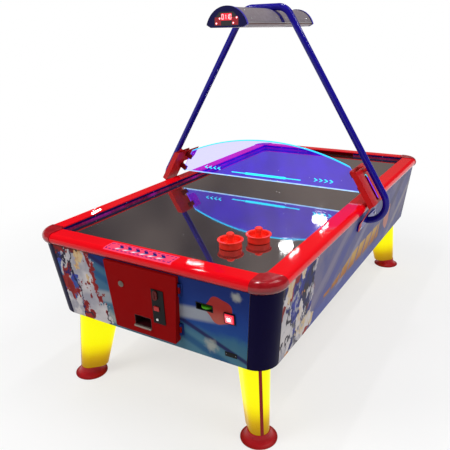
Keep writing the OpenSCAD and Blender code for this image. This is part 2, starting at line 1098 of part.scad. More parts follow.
// Bolt with its nut, head downwards, clamping a stack that starts at the origin
module bolt(grip) {
    translate([0, 0, -bolt_head_h])
        cylinder(r = bolt_head_r, h = bolt_head_h);
    translate([0, 0, -1])
        cylinder(r = bolt_r, h = grip + 2);
    translate([0, 0, grip])
        cylinder(r = bolt_head_r, h = bolt_head_h);
}

module bolts() {
    color("silver") {
        at_corners()
            on_leg()
                at_leg_bolts()
                    translate([0, 0, cabinet_bottom - leg_plate_t])
                        bolt(leg_plate_t + board_t);
        for (m = [0, 1])
            mirror([m, 0, 0])
                on_side(1)
                    for (e = [-1, 1]) {
                        stack = flange_t + (e < 0 ? bracket_t : 0);
                        translate([e * flange_half, up(entry_z), stack])
                            rotate([180, 0, 0])
                                bolt(stack + panel_t);
                    }
    }
}

// Gantry

// Straight length of tube, drawn a hair thinner than the bends that it runs into
module tube_run(radius, length) {
    cylinder(r = radius - tube_step, h = length);
}

// Bend in the plane across the table, from one angle to another above the X axis
module tube_bend(radius, x, z, bend_r, from, to) {
    translate([x, 0, z])
        rotate([90, 0, 0])
            rotate([0, 0, from])
                rotate_extrude(angle = to - from)
                    translate([bend_r, 0])
                        circle(r = radius);
}

// Solid bar along the right half of the gantry, lengthened at both ends
module gantry_bar(radius, extra) {
    translate([tail_x - extra, 0, entry_z])
        rotate([0, 90, 0])
            tube_run(radius, low_x - tail_x + extra + tube_lap);
    tube_bend(radius, low_x, low_z, low_bend_r, -90, arm_lean);
    on_arm()
        translate([0, 0, -tube_lap])
            tube_run(radius, arm_l + 2 * tube_lap);
    tube_bend(radius, gantry_top_half, top_z, top_bend_r, arm_lean, 90);
    translate([-extra, 0, tube_z])
        rotate([0, 90, 0])
            tube_run(radius, gantry_top_half + extra + tube_lap);
}

module gantry_arm() {
    difference() {
        gantry_bar(tube_r, 0);
        gantry_bar(tube_r - tube_wall, 1);
    }
}

module gantry_right() {
    color("darkblue")
        gantry_arm();
}

module gantry_left() {
    color("darkblue")
        mirror([1, 0, 0])
            gantry_arm();
}

module gantry_spigot() {
    color("silver")
        translate([-spigot_l / 2, 0, tube_z])
            rotate([0, 90, 0])
                cylinder(r = straight_r - tube_wall - fit, h = spigot_l);
}

module gantry_flange() {
    difference() {
        on_side(1)
            translate([0, up(entry_z), 0])
                linear_extrude(flange_t) {
                    square([flange_span, flange_h], center = true);
                    for (u = [-flange_half, flange_half])
                        translate([u, 0])
                            circle(d = flange_h);
                }
        gantry_holes();
    }
}

module gantry_flanges() {
    color("midnightblue")
        for (m = [0, 1])
            mirror([m, 0, 0])
                gantry_flange();
}

// Shield and brackets

// Open box folded round the arm's inner side, seen along the arm
module bracket_section() {
    near = -bracket_near;
    out = -bracket_out;
    back = out - bracket_t;
    lap = bracket_t / 2 - bracket_in;
    far = web_far - 1;
    wall = 2 * bracket_t;
    slope = (web_reach - far) / (out - lap);
    polygon([
        [out, near], [out, web_reach], [lap, far], [lap, far - wall],
        [back, far - wall + slope * (back - lap)], [back, near + bracket_t],
        [lap, near + bracket_t], [lap, near]
    ]);
}

module bracket_shell() {
    intersection() {
        on_arm()
            translate([0, 0, -shell_foot])
                linear_extrude(3 * bracket_up)
                    bracket_section();
        slab(0, bracket_top_z);
    }
}

// Outline of the bracket's inner plate: foot on the flange, strip, plate and upper flag
module bracket_outline() {
    near = -bracket_near;
    foot = -flange_half;
    flag_low = bracket_top_z - flag_drop;
    difference() {
        polygon([
            [foot - tongue_w / 2, pad_low_z], [foot + tongue_w / 2, pad_low_z],
            [foot + tongue_w / 2, pad_top_z], [near + tongue_w, bracket_low_z],
            [web_far, bracket_low_z], [web_far, flag_low], [bracket_far, flag_low],
            [bracket_far, bracket_top_z], [near, bracket_top_z], [near, bracket_low_z],
            [foot - tongue_w / 2, pad_top_z]
        ]);
        difference() {
            translate([bracket_far - flag_r, flag_low - 1])
                square([flag_r + 1, flag_r + 1]);
            translate([bracket_far - flag_r, flag_low + flag_r])
                circle(r = flag_r);
        }
    }
}

// Bent section of the same plate, seen along the table
module bracket_profile() {
    in_w = flange_t;
    out_w = flange_t + bracket_t;
    polygon([
        [flange_face(pad_low_z, in_w), pad_low_z], [flange_face(pad_low_z, out_w), pad_low_z],
        [flange_face(pad_top_z, out_w), pad_top_z],
        [arm_line(bracket_low_z, bracket_in - bracket_t), bracket_low_z],
        [arm_line(bracket_top_z, bracket_in - bracket_t), bracket_top_z],
        [arm_line(bracket_top_z, bracket_in), bracket_top_z],
        [arm_line(bracket_low_z, bracket_in), bracket_low_z],
        [flange_face(pad_top_z, in_w), pad_top_z]
    ]);
}

module bracket_plate() {
    difference() {
        intersection() {
            upright(table_l)
                bracket_profile();
            rotate([90, 0, 90])
                linear_extrude(table_w)
                    bracket_outline();
        }
        gantry_holes();
    }
}

module bracket_slot() {
    end_r = slot_w / 2;
    on_arm()
        translate([-bracket_out + bracket_t, slot_y, 0])
            rotate([0, -90, 0])
                translate([0, 0, -bracket_d / 2])
                    linear_extrude(bracket_d) {
                        translate([slot_t[0] + end_r, -end_r])
                            square([slot_t[1] - slot_t[0] - slot_w, slot_w]);
                        for (t = [slot_t[0] + end_r, slot_t[1] - end_r])
                            translate([t, 0])
                                circle(r = end_r);
                    }
}

module bracket_spacer() {
    difference() {
        on_arm()
            translate([-bracket_out - 1, 0, spacer_t])
                rotate([0, 90, 0])
                    cylinder(r = spacer_r, h = bracket_out + 1);
        on_arm()
            translate([0, 0, -arm_l / 2])
                cylinder(r = straight_r + fit, h = 2 * arm_l);
    }
}

module bracket() {
    difference() {
        bracket_shell();
        bracket_slot();
    }
    bracket_plate();
    bracket_spacer();
}

module bracket_right() {
    color("firebrick")
        bracket();
}

module bracket_left() {
    color("firebrick")
        mirror([1, 0, 0])
            bracket();
}

// Repeats the children at the shield's screws: z along the table, at both ends of the shield
module at_shield_screws() {
    for (m = [0, 1])
        mirror([m, 0, 0])
            on_arm()
                for (z = clip_z)
                    translate([-clip_m, 0, arm_t(z, clip_m)])
                        rotate([-90, 0, 0])
                            children();
}

module shield() {
    low_x = arm_line(shield_low, shield_end);
    high_x = arm_line(shield_top, shield_end);
    color("lavender", 0.5)
        difference() {
            upright(shield_t)
                intersection() {
                    translate([0, shield_top - shield_r])
                        circle(r = shield_r, $fn = 256);
                    polygon([
                        [-low_x, shield_low], [low_x, shield_low],
                        [high_x, shield_top], [-high_x, shield_top]
                    ]);
                }
            at_shield_screws()
                cylinder(r = screw_r + fit, h = 4 * shield_t, center = true);
        }
}

module shield_clips() {
    foot_end = web_far - 0.5;
    color("silver")
        difference() {
            for (m = [0, 1])
                for (f = [0, 1])
                    mirror([m, 0, 0])
                        mirror([0, f, 0])
                            on_arm()
                                for (z = clip_z)
                                    translate([0, 0, arm_t(z, clip_m) - clip_h / 2]) {
                                        box([-clip_m - clip_h / 3, shield_t / 2, 0],
                                            [-bracket_in, shield_t / 2 + clip_t, clip_h]);
                                        box([-bracket_in - clip_t, shield_t / 2, 0],
                                            [-bracket_in, foot_end, clip_h]);
                                    }
            at_shield_screws()
                cylinder(r = screw_r + fit, h = 8 * shield_t, center = true);
        }
}

module shield_screws() {
    seat = shield_t / 2 + clip_t;
    head_h = 3;
    color("silver")
        at_shield_screws() {
            cylinder(r = screw_r, h = 2 * seat + 2, center = true);
            for (f = [0, 1])
                mirror([0, 0, f])
                    translate([0, 0, seat])
                        cylinder(r = 2 * screw_r, h = head_h);
        }
}

// Lamp

// Section of the lamp: a round top over sloping lower sides
module lamp_section(radius, half, low) {
    shoulder = lamp_low + lamp_skirt;
    top = lamp_z + radius + 1;
    intersection() {
        translate([0, lamp_z])
            circle(r = radius, $fn = 128);
        polygon([
            [-half, low], [half, low], [radius + 1, shoulder], [radius + 1, top],
            [-radius - 1, top], [-radius - 1, shoulder]
        ]);
    }
}

// Straight rod along the gantry's upper tube, for cutting
module top_rod(radius) {
    translate([-table_w, 0, tube_z])
        rotate([0, 90, 0])
            cylinder(r = radius, h = 2 * table_w);
}

module lamp_body() {
    color("darkgray")
        difference() {
            upright(lamp_inner_l)
                difference() {
                    lamp_section(lamp_r, lamp_half, lamp_low);
                    lamp_section(lamp_r - lamp_t, lamp_half - lamp_t, lamp_low + lamp_t);
                    translate([0, lamp_low])
                        square([2 * (lamp_half - lamp_lip), 4 * lamp_t], center = true);
                }
            top_rod(straight_r + lamp_notch);
        }
}

module window_outline() {
    low = lamp_low + window_low;
    polygon([
        [-window_half, low], [window_half, low], [window_half, low + window_side],
        [window_top_half, low + window_h], [-window_top_half, low + window_h],
        [-window_half, low + window_side]
    ]);
}

module lamp_cap() {
    proud = lamp_cap_proud;
    difference() {
        translate([0, lamp_cap_t / 2 - lamp_l / 2, 0])
            upright(lamp_cap_t)
                lamp_section(lamp_r + proud, lamp_half + proud, lamp_low);
        translate([0, -lamp_l / 2, 0])
            upright(2 * window_t)
                window_outline();
    }
}

module lamp_caps() {
    color("mediumblue")
        for (m = [0, 1])
            mirror([0, m, 0])
                lamp_cap();
}

module score_panels() {
    color("black")
        for (m = [0, 1])
            mirror([0, m, 0])
                translate([0, window_t / 2 - lamp_l / 2, 0])
                    upright(window_t)
                        window_outline();
}

module lamp_diffuser() {
    half = lamp_half - lamp_t - fit;
    low = lamp_low + lamp_t;
    color("white")
        box([-half, -lamp_inner_l / 2, low], [half, lamp_inner_l / 2, low + diffuser_t]);
}

// Straps on both sides of the tube, bent over the lamp
module lamp_saddle() {
    under = lamp_r + fit;
    color("mediumblue")
        difference() {
            upright(saddle_w)
                intersection() {
                    difference() {
                        translate([0, lamp_z])
                            circle(r = under + strap_t);
                        translate([0, lamp_z])
                            circle(r = under);
                    }
                    translate([-2 * lamp_r, lamp_low + lamp_skirt + 4])
                        square([4 * lamp_r, 2 * lamp_r]);
                }
            top_rod(straight_r + fit);
        }
}

module lamp_tubes() {
    light_z = lamp_low + lamp_skirt + light_tube_r + 6;
    color("white")
        for (x = [-light_tube_x, light_tube_x])
            translate([x, 0, light_z])
                rotate([90, 0, 0])
                    cylinder(r = light_tube_r, h = lamp_inner_l, center = true);
}

// Coin door, drawn in the front panel's plane

module door_prism(margin, low, high) {
    bottom = door_bottom_w / 2 - margin;
    top = door_top_w / 2 - margin;
    translate([0, 0, low])
        linear_extrude(high - low)
            polygon([
                [-bottom, door_v + margin], [bottom, door_v + margin],
                [top, door_end_v - margin], [-top, door_end_v - margin]
            ]);
}

// Places the children on the door's sloping face, with y up from its lower edge
module on_slope() {
    translate([0, door_v, door_foot])
        rotate([-door_tilt, 0, 0])
            children();
}

module on_door() {
    on_side(0)
        on_slope()
            children();
}

// Block under the door's sloping face, down to a level above the panel
module door_wedge(margin, low) {
    intersection() {
        door_prism(margin, low, 2 * door_foot);
        on_slope()
            box([-door_top_w, -door_h, -3 * door_foot], [door_top_w, 2 * door_h, -margin]);
    }
}

// Places the children on the hinge line, with y along it
module on_hinge() {
    translate([door_bottom_w / 2, door_v, 0])
        rotate([0, 0, -door_flare])
            translate([hinge_gap, 0, hinge_w])
                children();
}

// Lays a rod along the hinge line
module hinge_rod(radius, length) {
    rotate([90, 0, 0])
        cylinder(r = radius, h = length, center = true);
}

module door_knuckle() {
    difference() {
        union() {
            hinge_rod(knuckle_r, 2 * knuckle_half);
            box([-hinge_gap - door_t / 2, -knuckle_half, -door_t], [0, knuckle_half, door_t]);
        }
        hinge_rod(pin_r + run_fit, 4 * knuckle_half);
    }
}

module coin_door() {
    deep = 4 * door_t;
    cup_gap = 2 * (cup_t + fit);
    color("darkred")
        on_side(0) {
            difference() {
                door_wedge(0, 2 * fit);
                door_wedge(door_t, -1);
                on_slope() {
                    translate([lock_u, lock_y, 0])
                        cylinder(r = barrel_r + fit, h = 2 * deep, center = true);
                    translate([coin_u + reject_at[0], coin_y + reject_at[1], 0])
                        cube([reject_w + 2 * fit, reject_h + 2 * fit, deep], center = true);
                    translate([return_u, return_y, 0])
                        cube([return_w + cup_gap, return_h + cup_gap, deep], center = true);
                }
            }
            on_hinge()
                for (y = hinge_spots)
                    translate([0, y, 0])
                        door_knuckle();
        }
}

module coin_frame() {
    collar = cut_half - fit;
    low = cut_v + fit;
    high = cut_end_v - fit;
    color("dimgray")
        on_side(0)
            difference() {
                union() {
                    door_prism(2 * door_t, 0, frame_t);
                    box([-collar, low, -panel_t], [collar, high, frame_t]);
                }
                box([frame_t - collar, low + frame_t, -2 * panel_t],
                    [collar - frame_t, high - frame_t, panel_t]);
            }
}

module door_hinge() {
    gap = 0.5;
    leaf_low = -hinge_w;
    leaf_top = frame_t - hinge_w;
    hinge_rod(pin_r, 2 * hinge_half);
    for (m = [0, 1])
        mirror([0, m, 0]) {
            translate([0, (hinge_half + knuckle_half + gap) / 2, 0])
                hinge_rod(knuckle_r, hinge_half - knuckle_half - gap);
            box([0, knuckle_half + gap, leaf_low], [leaf_w, hinge_half, leaf_top]);
        }
    box([knuckle_r + gap, -hinge_half, leaf_low], [leaf_w, hinge_half, leaf_top]);
}

module door_hinges() {
    color("silver")
        on_side(0)
            on_hinge()
                for (y = hinge_spots)
                    translate([0, y, 0])
                        door_hinge();
}

module lock_body() {
    color("silver")
        on_door()
            translate([lock_u, lock_y, 0])
                difference() {
                    union() {
                        translate([0, 0, -lock_deep])
                            cylinder(r = barrel_r, h = lock_deep);
                        cylinder(r = lock_flange_r, h = lock_flange_t);
                    }
                    translate([0, 0, -2 * lock_deep])
                        cylinder(r = plug_d / 2 + run_fit, h = 4 * lock_deep);
                }
}

module lock_plug() {
    face = lock_flange_t + 1;
    slot = [1.6, plug_d * 0.65, 3];
    color("gold")
        on_door()
            translate([lock_u, lock_y, 0])
                difference() {
                    union() {
                        translate([0, 0, -cam_back])
                            cylinder(d = plug_d, h = cam_back + face);
                        box([-cam_w / 2, -cam_l, -cam_back - cam_t], [cam_w / 2, cam_w / 2, -cam_back]);
                    }
                    translate([0, 0, face])
                        cube(slot, center = true);
                }
}

module on_coin_plate() {
    on_door()
        translate([coin_u, coin_y, 0])
            children();
}

module coin_plate() {
    color("black")
        on_coin_plate()
            difference() {
                translate([0, 0, coin_plate_t / 2])
                    cube([coin_plate_w, coin_plate_h, coin_plate_t], center = true);
                translate([reject_at[0], reject_at[1], 0])
                    cube([reject_w + 2 * run_fit, reject_h + 2 * run_fit, 4 * coin_plate_t], center = true);
            }
}

module coin_entry() {
    end = (entry_h - entry_w) / 2;
    color("red")
        on_coin_plate()
            translate([entry_at[0], entry_at[1], coin_plate_t])
                linear_extrude(entry_proud)
                    difference() {
                        union() {
                            square([entry_w, 2 * end], center = true);
                            for (y = [-end, end])
                                translate([0, y])
                                    circle(d = entry_w);
                        }
                        square(entry_slot, center = true);
                    }
}

module reject_button() {
    back = -door_t - 2;
    color("red")
        on_coin_plate()
            translate([reject_at[0], reject_at[1], 0])
                box([-reject_w / 2, -reject_h / 2, back],
                    [reject_w / 2, reject_h / 2, coin_plate_t + reject_proud]);
}

module coin_validator() {
    pocket = reject_travel + 4;
    color("gray")
        on_coin_plate()
            difference() {
                translate([0, 0, -door_t - validator_size[2] / 2])
                    cube(validator_size, center = true);
                translate([reject_at[0], reject_at[1], -door_t])
                    cube([reject_w + 2, reject_h + 2, 2 * pocket], center = true);
            }
}

module coin_cup() {
    outer_w = return_w + 2 * cup_t;
    outer_h = return_h + 2 * cup_t;
    color("darkgray")
        on_door()
            translate([return_u, return_y, 0]) {
                difference() {
                    box([-outer_w / 2, -outer_h / 2, -cup_depth], [outer_w / 2, outer_h / 2, 0]);
                    box([-return_w / 2, -return_h / 2, cup_t - cup_depth], [return_w / 2, return_h / 2, 1]);
                }
                box([-outer_w / 2, -return_h / 2 - cup_lip, 0], [outer_w / 2, -return_h / 2, cup_lip]);
            }
}

module cash_box() {
    low = cabinet_bottom + board_t;
    wide = cash_size[0] / 2;
    color("gray")
        on_edge(0)
            translate([cash_x, cash_s, low])
                difference() {
                    box([-wide, 0, 0], [wide, cash_size[1], cash_size[2]]);
                    box([cash_t - wide, cash_t, cash_t],
                        [wide - cash_t, cash_size[1] - cash_t, 2 * cash_size[2]]);
                }
}

// Start button and power inlet

module start_bezel() {
    bore = button_w + 2 * fit;
    body_w = bore + 2 * button_body_wall;
    color("black")
        on_side(0)
            translate([button_u, button_v, 0])
                difference() {
                    union() {
                        translate([0, 0, bezel_t / 2])
                            cube([bezel_w, bezel_w, bezel_t], center = true);
                        translate([0, 0, -button_body_d / 2])
                            cube([body_w, body_w, button_body_d], center = true);
                    }
                    translate([0, 0, button_body_wall])
                        cube([bore, bore, 2 * button_body_d], center = true);
                }
}

module start_button() {
    face = bezel_t + button_travel;
    color("orangered")
        on_side(0)
            translate([button_u, button_v, face - button_l / 2])
                cube([button_w, button_w, button_l], center = true);
}

module rocker_outline() {
    half = rocker_size[1] / 2;
    dip = rocker_pin_r + 0.5;
    edge = rocker_pin_r + 2;
    polygon([[-half, -edge], [half, -edge], [half, edge], [0, dip], [-half, edge]]);
}

module power_inlet() {
    body = [inlet_size[0] - 8, inlet_size[1] - 8, inlet_size[2]];
    socket = [24, 16, 20];
    pocket = [rocker_size[0] + 2 * fit, rocker_size[1] + 4, 18];
    color("black")
        on_side(2)
            translate([inlet_u, inlet_v, 0])
                difference() {
                    union() {
                        translate([0, 0, inlet_bezel_t / 2])
                            cube([inlet_size[0], inlet_size[1], inlet_bezel_t], center = true);
                        translate([0, 0, -body[2] / 2])
                            cube(body, center = true);
                    }
                    translate([-rocker_u / 2, 0, 0])
                        cube(socket, center = true);
                    translate([rocker_u, 0, 0])
                        cube(pocket, center = true);
                    translate([rocker_u, 0, 0])
                        rotate([0, 90, 0])
                            cylinder(r = rocker_pin_r + run_fit, h = pocket[0] + 6, center = true);
                }
}

module power_switch() {
    color("firebrick")
        on_side(2)
            translate([inlet_u + rocker_u, inlet_v, 0]) {
                rotate([-rocker_tilt, 0, 0])
                    rotate([90, 0, 90])
                        linear_extrude(rocker_size[0], center = true)
                            rocker_outline();
                rotate([0, 90, 0])
                    cylinder(r = rocker_pin_r, h = rocker_size[0] + 5, center = true);
            }
}

// Strikers

module striker(spot) {
    body_r = striker_d / 2;
    rim_r = striker_rim / 2;
    knob_r = 18;
    color("tomato")
        translate([spot[0], spot[1], field_z + fit])
            rotate_extrude()
                polygon([
                    [0, 0], [body_r - 2, 0], [body_r, 2], [body_r, striker_wall - 7],
                    [rim_r, striker_wall - 4], [rim_r, striker_wall - 1], [rim_r - 2, striker_wall],
                    [body_r - 4, striker_wall - 2], [body_r - 5, 14], [knob_r + 6, 12],
                    [knob_r - 3, 20], [knob_r - 3, striker_h - 20], [knob_r, striker_h - 12],
                    [knob_r - 1, striker_h - 4], [knob_r - 6, striker_h], [0, striker_h]
                ]);
}

module striker_1() {
    striker(striker_spots[0]);
}

module striker_2() {
    striker(striker_spots[1]);
}

panel_front();
panel_rear();
panel_left();
panel_right();
corner_columns();
bottom_board();
top_frame();
plenum_floor();
playfield();
rail_front();
rail_rear();
rail_left();
rail_right();
corner_caps();
field_walls();
field_trim();
trim_screws();
goal_chutes();
puck_outlets();
puck();
leg_posts();
leg_covers();
feet();
leg_lights();
gantry_left();
gantry_right();
gantry_spigot();
gantry_flanges();
bolts();
bracket_left();
bracket_right();
shield();
shield_clips();
shield_screws();
lamp_body();
lamp_caps();
score_panels();
lamp_diffuser();
lamp_saddle();
lamp_tubes();
coin_door();
coin_frame();
door_hinges();
lock_body();
lock_plug();
coin_plate();
coin_entry();
reject_button();
coin_cup();
coin_validator();
cash_box();
start_bezel();
start_button();
blower_housing();
blower_motor();
blower_impeller();
striker_1();
striker_2();
power_inlet();
power_switch();
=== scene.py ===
"""Looks of the arcade air hockey table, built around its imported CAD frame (metres, Z up, coin door at -Y)."""

import math

import bmesh
import bpy
from mathutils import Matrix, Vector


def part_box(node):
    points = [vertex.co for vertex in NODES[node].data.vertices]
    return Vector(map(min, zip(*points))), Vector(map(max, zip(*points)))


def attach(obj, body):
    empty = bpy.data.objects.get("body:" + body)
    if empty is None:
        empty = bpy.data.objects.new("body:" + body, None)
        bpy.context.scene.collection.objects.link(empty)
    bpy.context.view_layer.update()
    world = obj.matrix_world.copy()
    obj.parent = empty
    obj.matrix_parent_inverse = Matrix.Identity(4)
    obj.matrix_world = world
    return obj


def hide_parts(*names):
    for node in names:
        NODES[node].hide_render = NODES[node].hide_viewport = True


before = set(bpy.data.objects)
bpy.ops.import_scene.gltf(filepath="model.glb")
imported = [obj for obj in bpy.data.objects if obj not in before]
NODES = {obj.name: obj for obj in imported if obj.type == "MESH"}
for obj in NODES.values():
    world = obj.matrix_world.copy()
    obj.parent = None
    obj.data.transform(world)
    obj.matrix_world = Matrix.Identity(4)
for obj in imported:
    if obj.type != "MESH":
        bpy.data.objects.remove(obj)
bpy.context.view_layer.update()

# Sizes that the pieces share with the CAD source

# Rails: half width and half length over them, their top, the radius of their bullnose
HALF_W = 0.625
HALF_L = 1.158
RAIL_TOP = 0.800
RAIL_R = 0.025
# Panels: height and inset of their foot, and their lean outwards
FLOOR_Z = 0.385
FOOT_IN = 0.055
LEAN = math.radians(6.0988)
# Coin door: foot above the panel's foot, height, how far its top and foot stand out
DOOR_V = 0.046
DOOR_H = 0.318
DOOR_PROUD = 0.015
DOOR_FOOT = 0.036
# Coin plate: its middle on the door, and its thickness
COIN_SPOT = (0.089, 0.159)
COIN_PLATE_T = 0.003
# Lamp: height of the centre of its round section, and the radius
LAMP_CENTRE_Z = 1.646
LAMP_R = 0.111
# Gantry arm: lean, and a point (x, z) on its axis, measured along it from the rail's edge
ARM_LEAN = math.radians(31.52)
ARM_REACH = 0.096
ARM_SPOT = (0.606 + ARM_REACH * math.cos(ARM_LEAN), 0.784 + ARM_REACH * math.sin(ARM_LEAN))
# Slot in a shield bracket, in the arm's axes: depth of its plate, middle, half width, ends
BRACKET_OUT = 0.037
SLOT_Y = -0.003
SLOT_HALF = 0.018
SLOT_T = (-0.009, 0.142)
# Shield: centre and radius of its arch
SHIELD_ARC_Z = -0.246
SHIELD_ARC_R = 1.312


# Colours and shader nodes

def srgb(r, g, b):
    """A screen colour, 0 to 255, as the linear colour that shaders take."""
    def linear(c):
        c = c / 255
        return c / 12.92 if c <= 0.04045 else ((c + 0.055) / 1.055) ** 2.4
    return (linear(r), linear(g), linear(b), 1.0)


class Shader:
    """One node material, with short calls for the nodes that the finishes share."""

    def __init__(self, name, world=False):
        self.mat = (bpy.data.worlds if world else bpy.data.materials).new(name)
        self.mat.use_nodes = True
        self.tree = self.mat.node_tree
        self.tree.nodes.clear()
        self.out = self.tree.nodes.new("ShaderNodeOutputWorld" if world else "ShaderNodeOutputMaterial")

    def feed(self, socket, value):
        if isinstance(value, bpy.types.NodeSocket):
            self.tree.links.new(value, socket)
        elif value is not None:
            socket.default_value = value

    def node(self, kind, inputs=None, **props):
        made = self.tree.nodes.new(kind)
        for key, value in props.items():
            setattr(made, key, value)
        for key, value in (inputs or {}).items():
            self.feed(made.inputs[key], value)
        return made

    def coords(self, kind="Object"):
        return self.node("ShaderNodeTexCoord").outputs[kind]

    def axes(self, kind="Object"):
        split = self.node("ShaderNodeSeparateXYZ", {0: self.coords(kind)})
        return split.outputs[0], split.outputs[1], split.outputs[2]

    def scaled(self, vector, scale):
        return self.node("ShaderNodeMapping", {0: vector, 3: scale}).outputs[0]

    def placed(self, spot, turn, scale):
        """Object coordinates moved, turned and stretched."""
        return self.node("ShaderNodeMapping", {0: self.coords(), 1: spot, 2: turn, 3: scale}).outputs[0]

    def math(self, op, a, b=None, c=None):
        return self.node("ShaderNodeMath", {0: a, 1: b, 2: c}, operation=op).outputs[0]

    def step(self, value, low, high, start=0.0, end=1.0):
        """start below low, end above high, smooth between."""
        made = self.node("ShaderNodeMapRange", {0: value, 1: low, 2: high, 3: start, 4: end},
                         interpolation_type="SMOOTHSTEP")
        return made.outputs[0]

    def fade(self, value, low, high):
        return self.step(value, low, high, 1.0, 0.0)

    def band(self, value, low, high, soft):
        """1 between low and high, 0 outside."""
        rise = self.step(value, low - soft, low + soft)
        fall = self.fade(value, high - soft, high + soft)
        return self.times(rise, fall)

    def mix(self, share, a, b):
        made = self.node("ShaderNodeMix", data_type="RGBA")
        self.feed(made.inputs[0], share)
        self.feed(made.inputs[6], a)
        self.feed(made.inputs[7], b)
        return made.outputs[2]

    def ramp(self, value, *stops):
        """A colour ramp from (place, colour) stops."""
        made = self.node("ShaderNodeValToRGB", {0: value})
        band = made.color_ramp
        band.elements.remove(band.elements[1])
        band.elements[0].position, band.elements[0].color = stops[0]
        for place, colour in stops[1:]:
            band.elements.new(place).color = colour
        return made.outputs[0]

    def noise(self, scale, detail=3.0, vector=None, rough=0.5):
        made = self.node("ShaderNodeTexNoise", {"Vector": vector or self.coords(), "Scale": scale,
                                                "Detail": detail, "Roughness": rough})
        return made.outputs[0]

    def cells(self, scale):
        made = self.node("ShaderNodeTexVoronoi", {"Vector": self.coords(), "Scale": scale})
        return made.outputs["Distance"]

    def along(self, direction, origin):
        """Distance of the shaded point from origin, measured along a direction."""
        made = self.node("ShaderNodeVectorMath", {0: self.coords(), 1: tuple(direction)},
                         operation="DOT_PRODUCT")
        return self.minus(made.outputs["Value"], Vector(origin).dot(Vector(direction)))

    def facing(self, axis):
        """How far the surface faces along one axis, without its sign."""
        normal = self.node("ShaderNodeNewGeometry").outputs["Normal"]
        return self.size(self.node("ShaderNodeSeparateXYZ", {0: normal}).outputs[axis])

    def length(self, a, b):
        """Length of the flat vector (a, b)."""
        return self.math("SQRT", self.plus(self.times(a, a), self.times(b, b)))

    def plus(self, a, b):
        return self.math("ADD", a, b)

    def minus(self, a, b):
        return self.math("SUBTRACT", a, b)

    def times(self, *values):
        made = values[0]
        for value in values[1:]:
            made = self.math("MULTIPLY", made, value)
        return made

    def size(self, value):
        return self.math("ABSOLUTE", value)

    def most(self, a, b):
        return self.math("MAXIMUM", a, b)

    def bump(self, height, strength, distance=0.001, normal=None):
        made = self.node("ShaderNodeBump", {"Height": height, "Strength": strength,
                                            "Distance": distance, "Normal": normal})
        return made.outputs[0]

    def soft_edge(self, radius):
        return self.node("ShaderNodeBevel", {"Radius": radius}, samples=4).outputs[0]

    def seen_rays(self):
        """1 for rays that show the background: from the camera, off gloss and through glass."""
        rays = self.node("ShaderNodeLightPath").outputs
        mirrored = self.most(rays["Is Glossy Ray"], rays["Is Transmission Ray"])
        return self.most(rays["Is Camera Ray"], mirrored)

    def show(self, shade):
        self.tree.links.new(shade.outputs[0], self.out.inputs[0])

    def principled(self, **values):
        made = self.node("ShaderNodeBsdfPrincipled")
        for key, value in values.items():
            self.feed(made.inputs[key.replace("_", " ")], value)
        self.show(made)
        return self.mat

    def skin(self, base, cloud, rough, **more):
        """A surface whose roughness follows a cloud between two values."""
        return self.principled(Base_Color=base, Roughness=self.step(cloud, 0.2, 0.8, *rough), **more)


def tint(colour, share):
    """The colour made lighter (share above 1) or darker."""
    return tuple(min(1.0, c * share) for c in colour[:3]) + (1.0,)


def painted(name, colour, rough=0.35, gloss=0.25, vary=0.12, peel=0.08, edge=0.0015, grain=900.0):
    """Paint, lacquer or enamel: slight mottling, fine orange peel, rounded edges."""
    s = Shader(name)
    mottle = s.noise(14.0, 4.0)
    base = s.mix(mottle, tint(colour, 1 - vary), tint(colour, 1 + vary))
    fine = s.noise(grain, 2.0)
    return s.skin(base, mottle, (rough * 0.85, rough * 1.15), Specular_IOR_Level=gloss,
                  Normal=s.bump(fine, peel, 0.0004, s.soft_edge(edge)))


def moulded(name, colour, rough=0.45, vary=0.15, texture=0.25, gloss=0.3):
    """Moulded plastic: a fine spark texture over slightly uneven colour."""
    s = Shader(name)
    cloud = s.noise(25.0)
    base = s.mix(cloud, tint(colour, 1 - vary), tint(colour, 1 + vary))
    spark = s.cells(1400.0)
    return s.skin(base, cloud, (rough - 0.06, rough + 0.06), Specular_IOR_Level=gloss,
                  Normal=s.bump(spark, texture, 0.0003, s.soft_edge(0.001)))


def metal(name, colour, rough, along=(900.0, 12.0, 900.0)):
    """Bare metal with a brushed grain; along stretches the grain."""
    s = Shader(name)
    brushed = s.noise(1.0, 4.0, s.scaled(s.coords(), along))
    cloud = s.noise(9.0)
    base = s.mix(brushed, tint(colour, 0.8), tint(colour, 1.2))
    return s.skin(base, cloud, (rough * 0.8, rough * 1.25), Metallic=1.0,
                  Normal=s.bump(brushed, 0.25, 0.0003, s.soft_edge(0.0008)))


def lit(name, colour, glow, strength, ripple=60.0):
    """Lit plastic: an even glow with a faint cloudiness."""
    s = Shader(name)
    cloud = s.noise(ripple, 2.0)
    shade = s.mix(cloud, tint(glow, 0.85), glow)
    return s.principled(Base_Color=colour, Roughness=0.3, Emission_Color=shade, Emission_Strength=strength)


# Places on the object

def place_of(x_axis, y_axis, z_axis, origin):
    """Matrix with these three axes and this origin."""
    made = Matrix.Identity(4)
    for column, axis in enumerate((x_axis, y_axis, z_axis, origin)):
        for row in range(3):
            made[row][column] = axis[row]
    return made


def panel_place(side):
    """Matrix from a panel's own axes (u along, v up, w out of the face) to the frame."""
    turn = {"front": 0, "right": 1, "rear": 2, "left": 3}[side] * math.pi / 2
    out = Vector((math.sin(turn), -math.cos(turn), 0))
    along = Vector((math.cos(turn), math.sin(turn), 0))
    up = Vector((0, 0, 1))
    reach = HALF_L if side in ("front", "rear") else HALF_W
    rise = out * math.sin(LEAN) + up * math.cos(LEAN)
    face = out * math.cos(LEAN) - up * math.sin(LEAN)
    return place_of(along, rise, face, out * (reach - FOOT_IN) + up * FLOOR_Z)


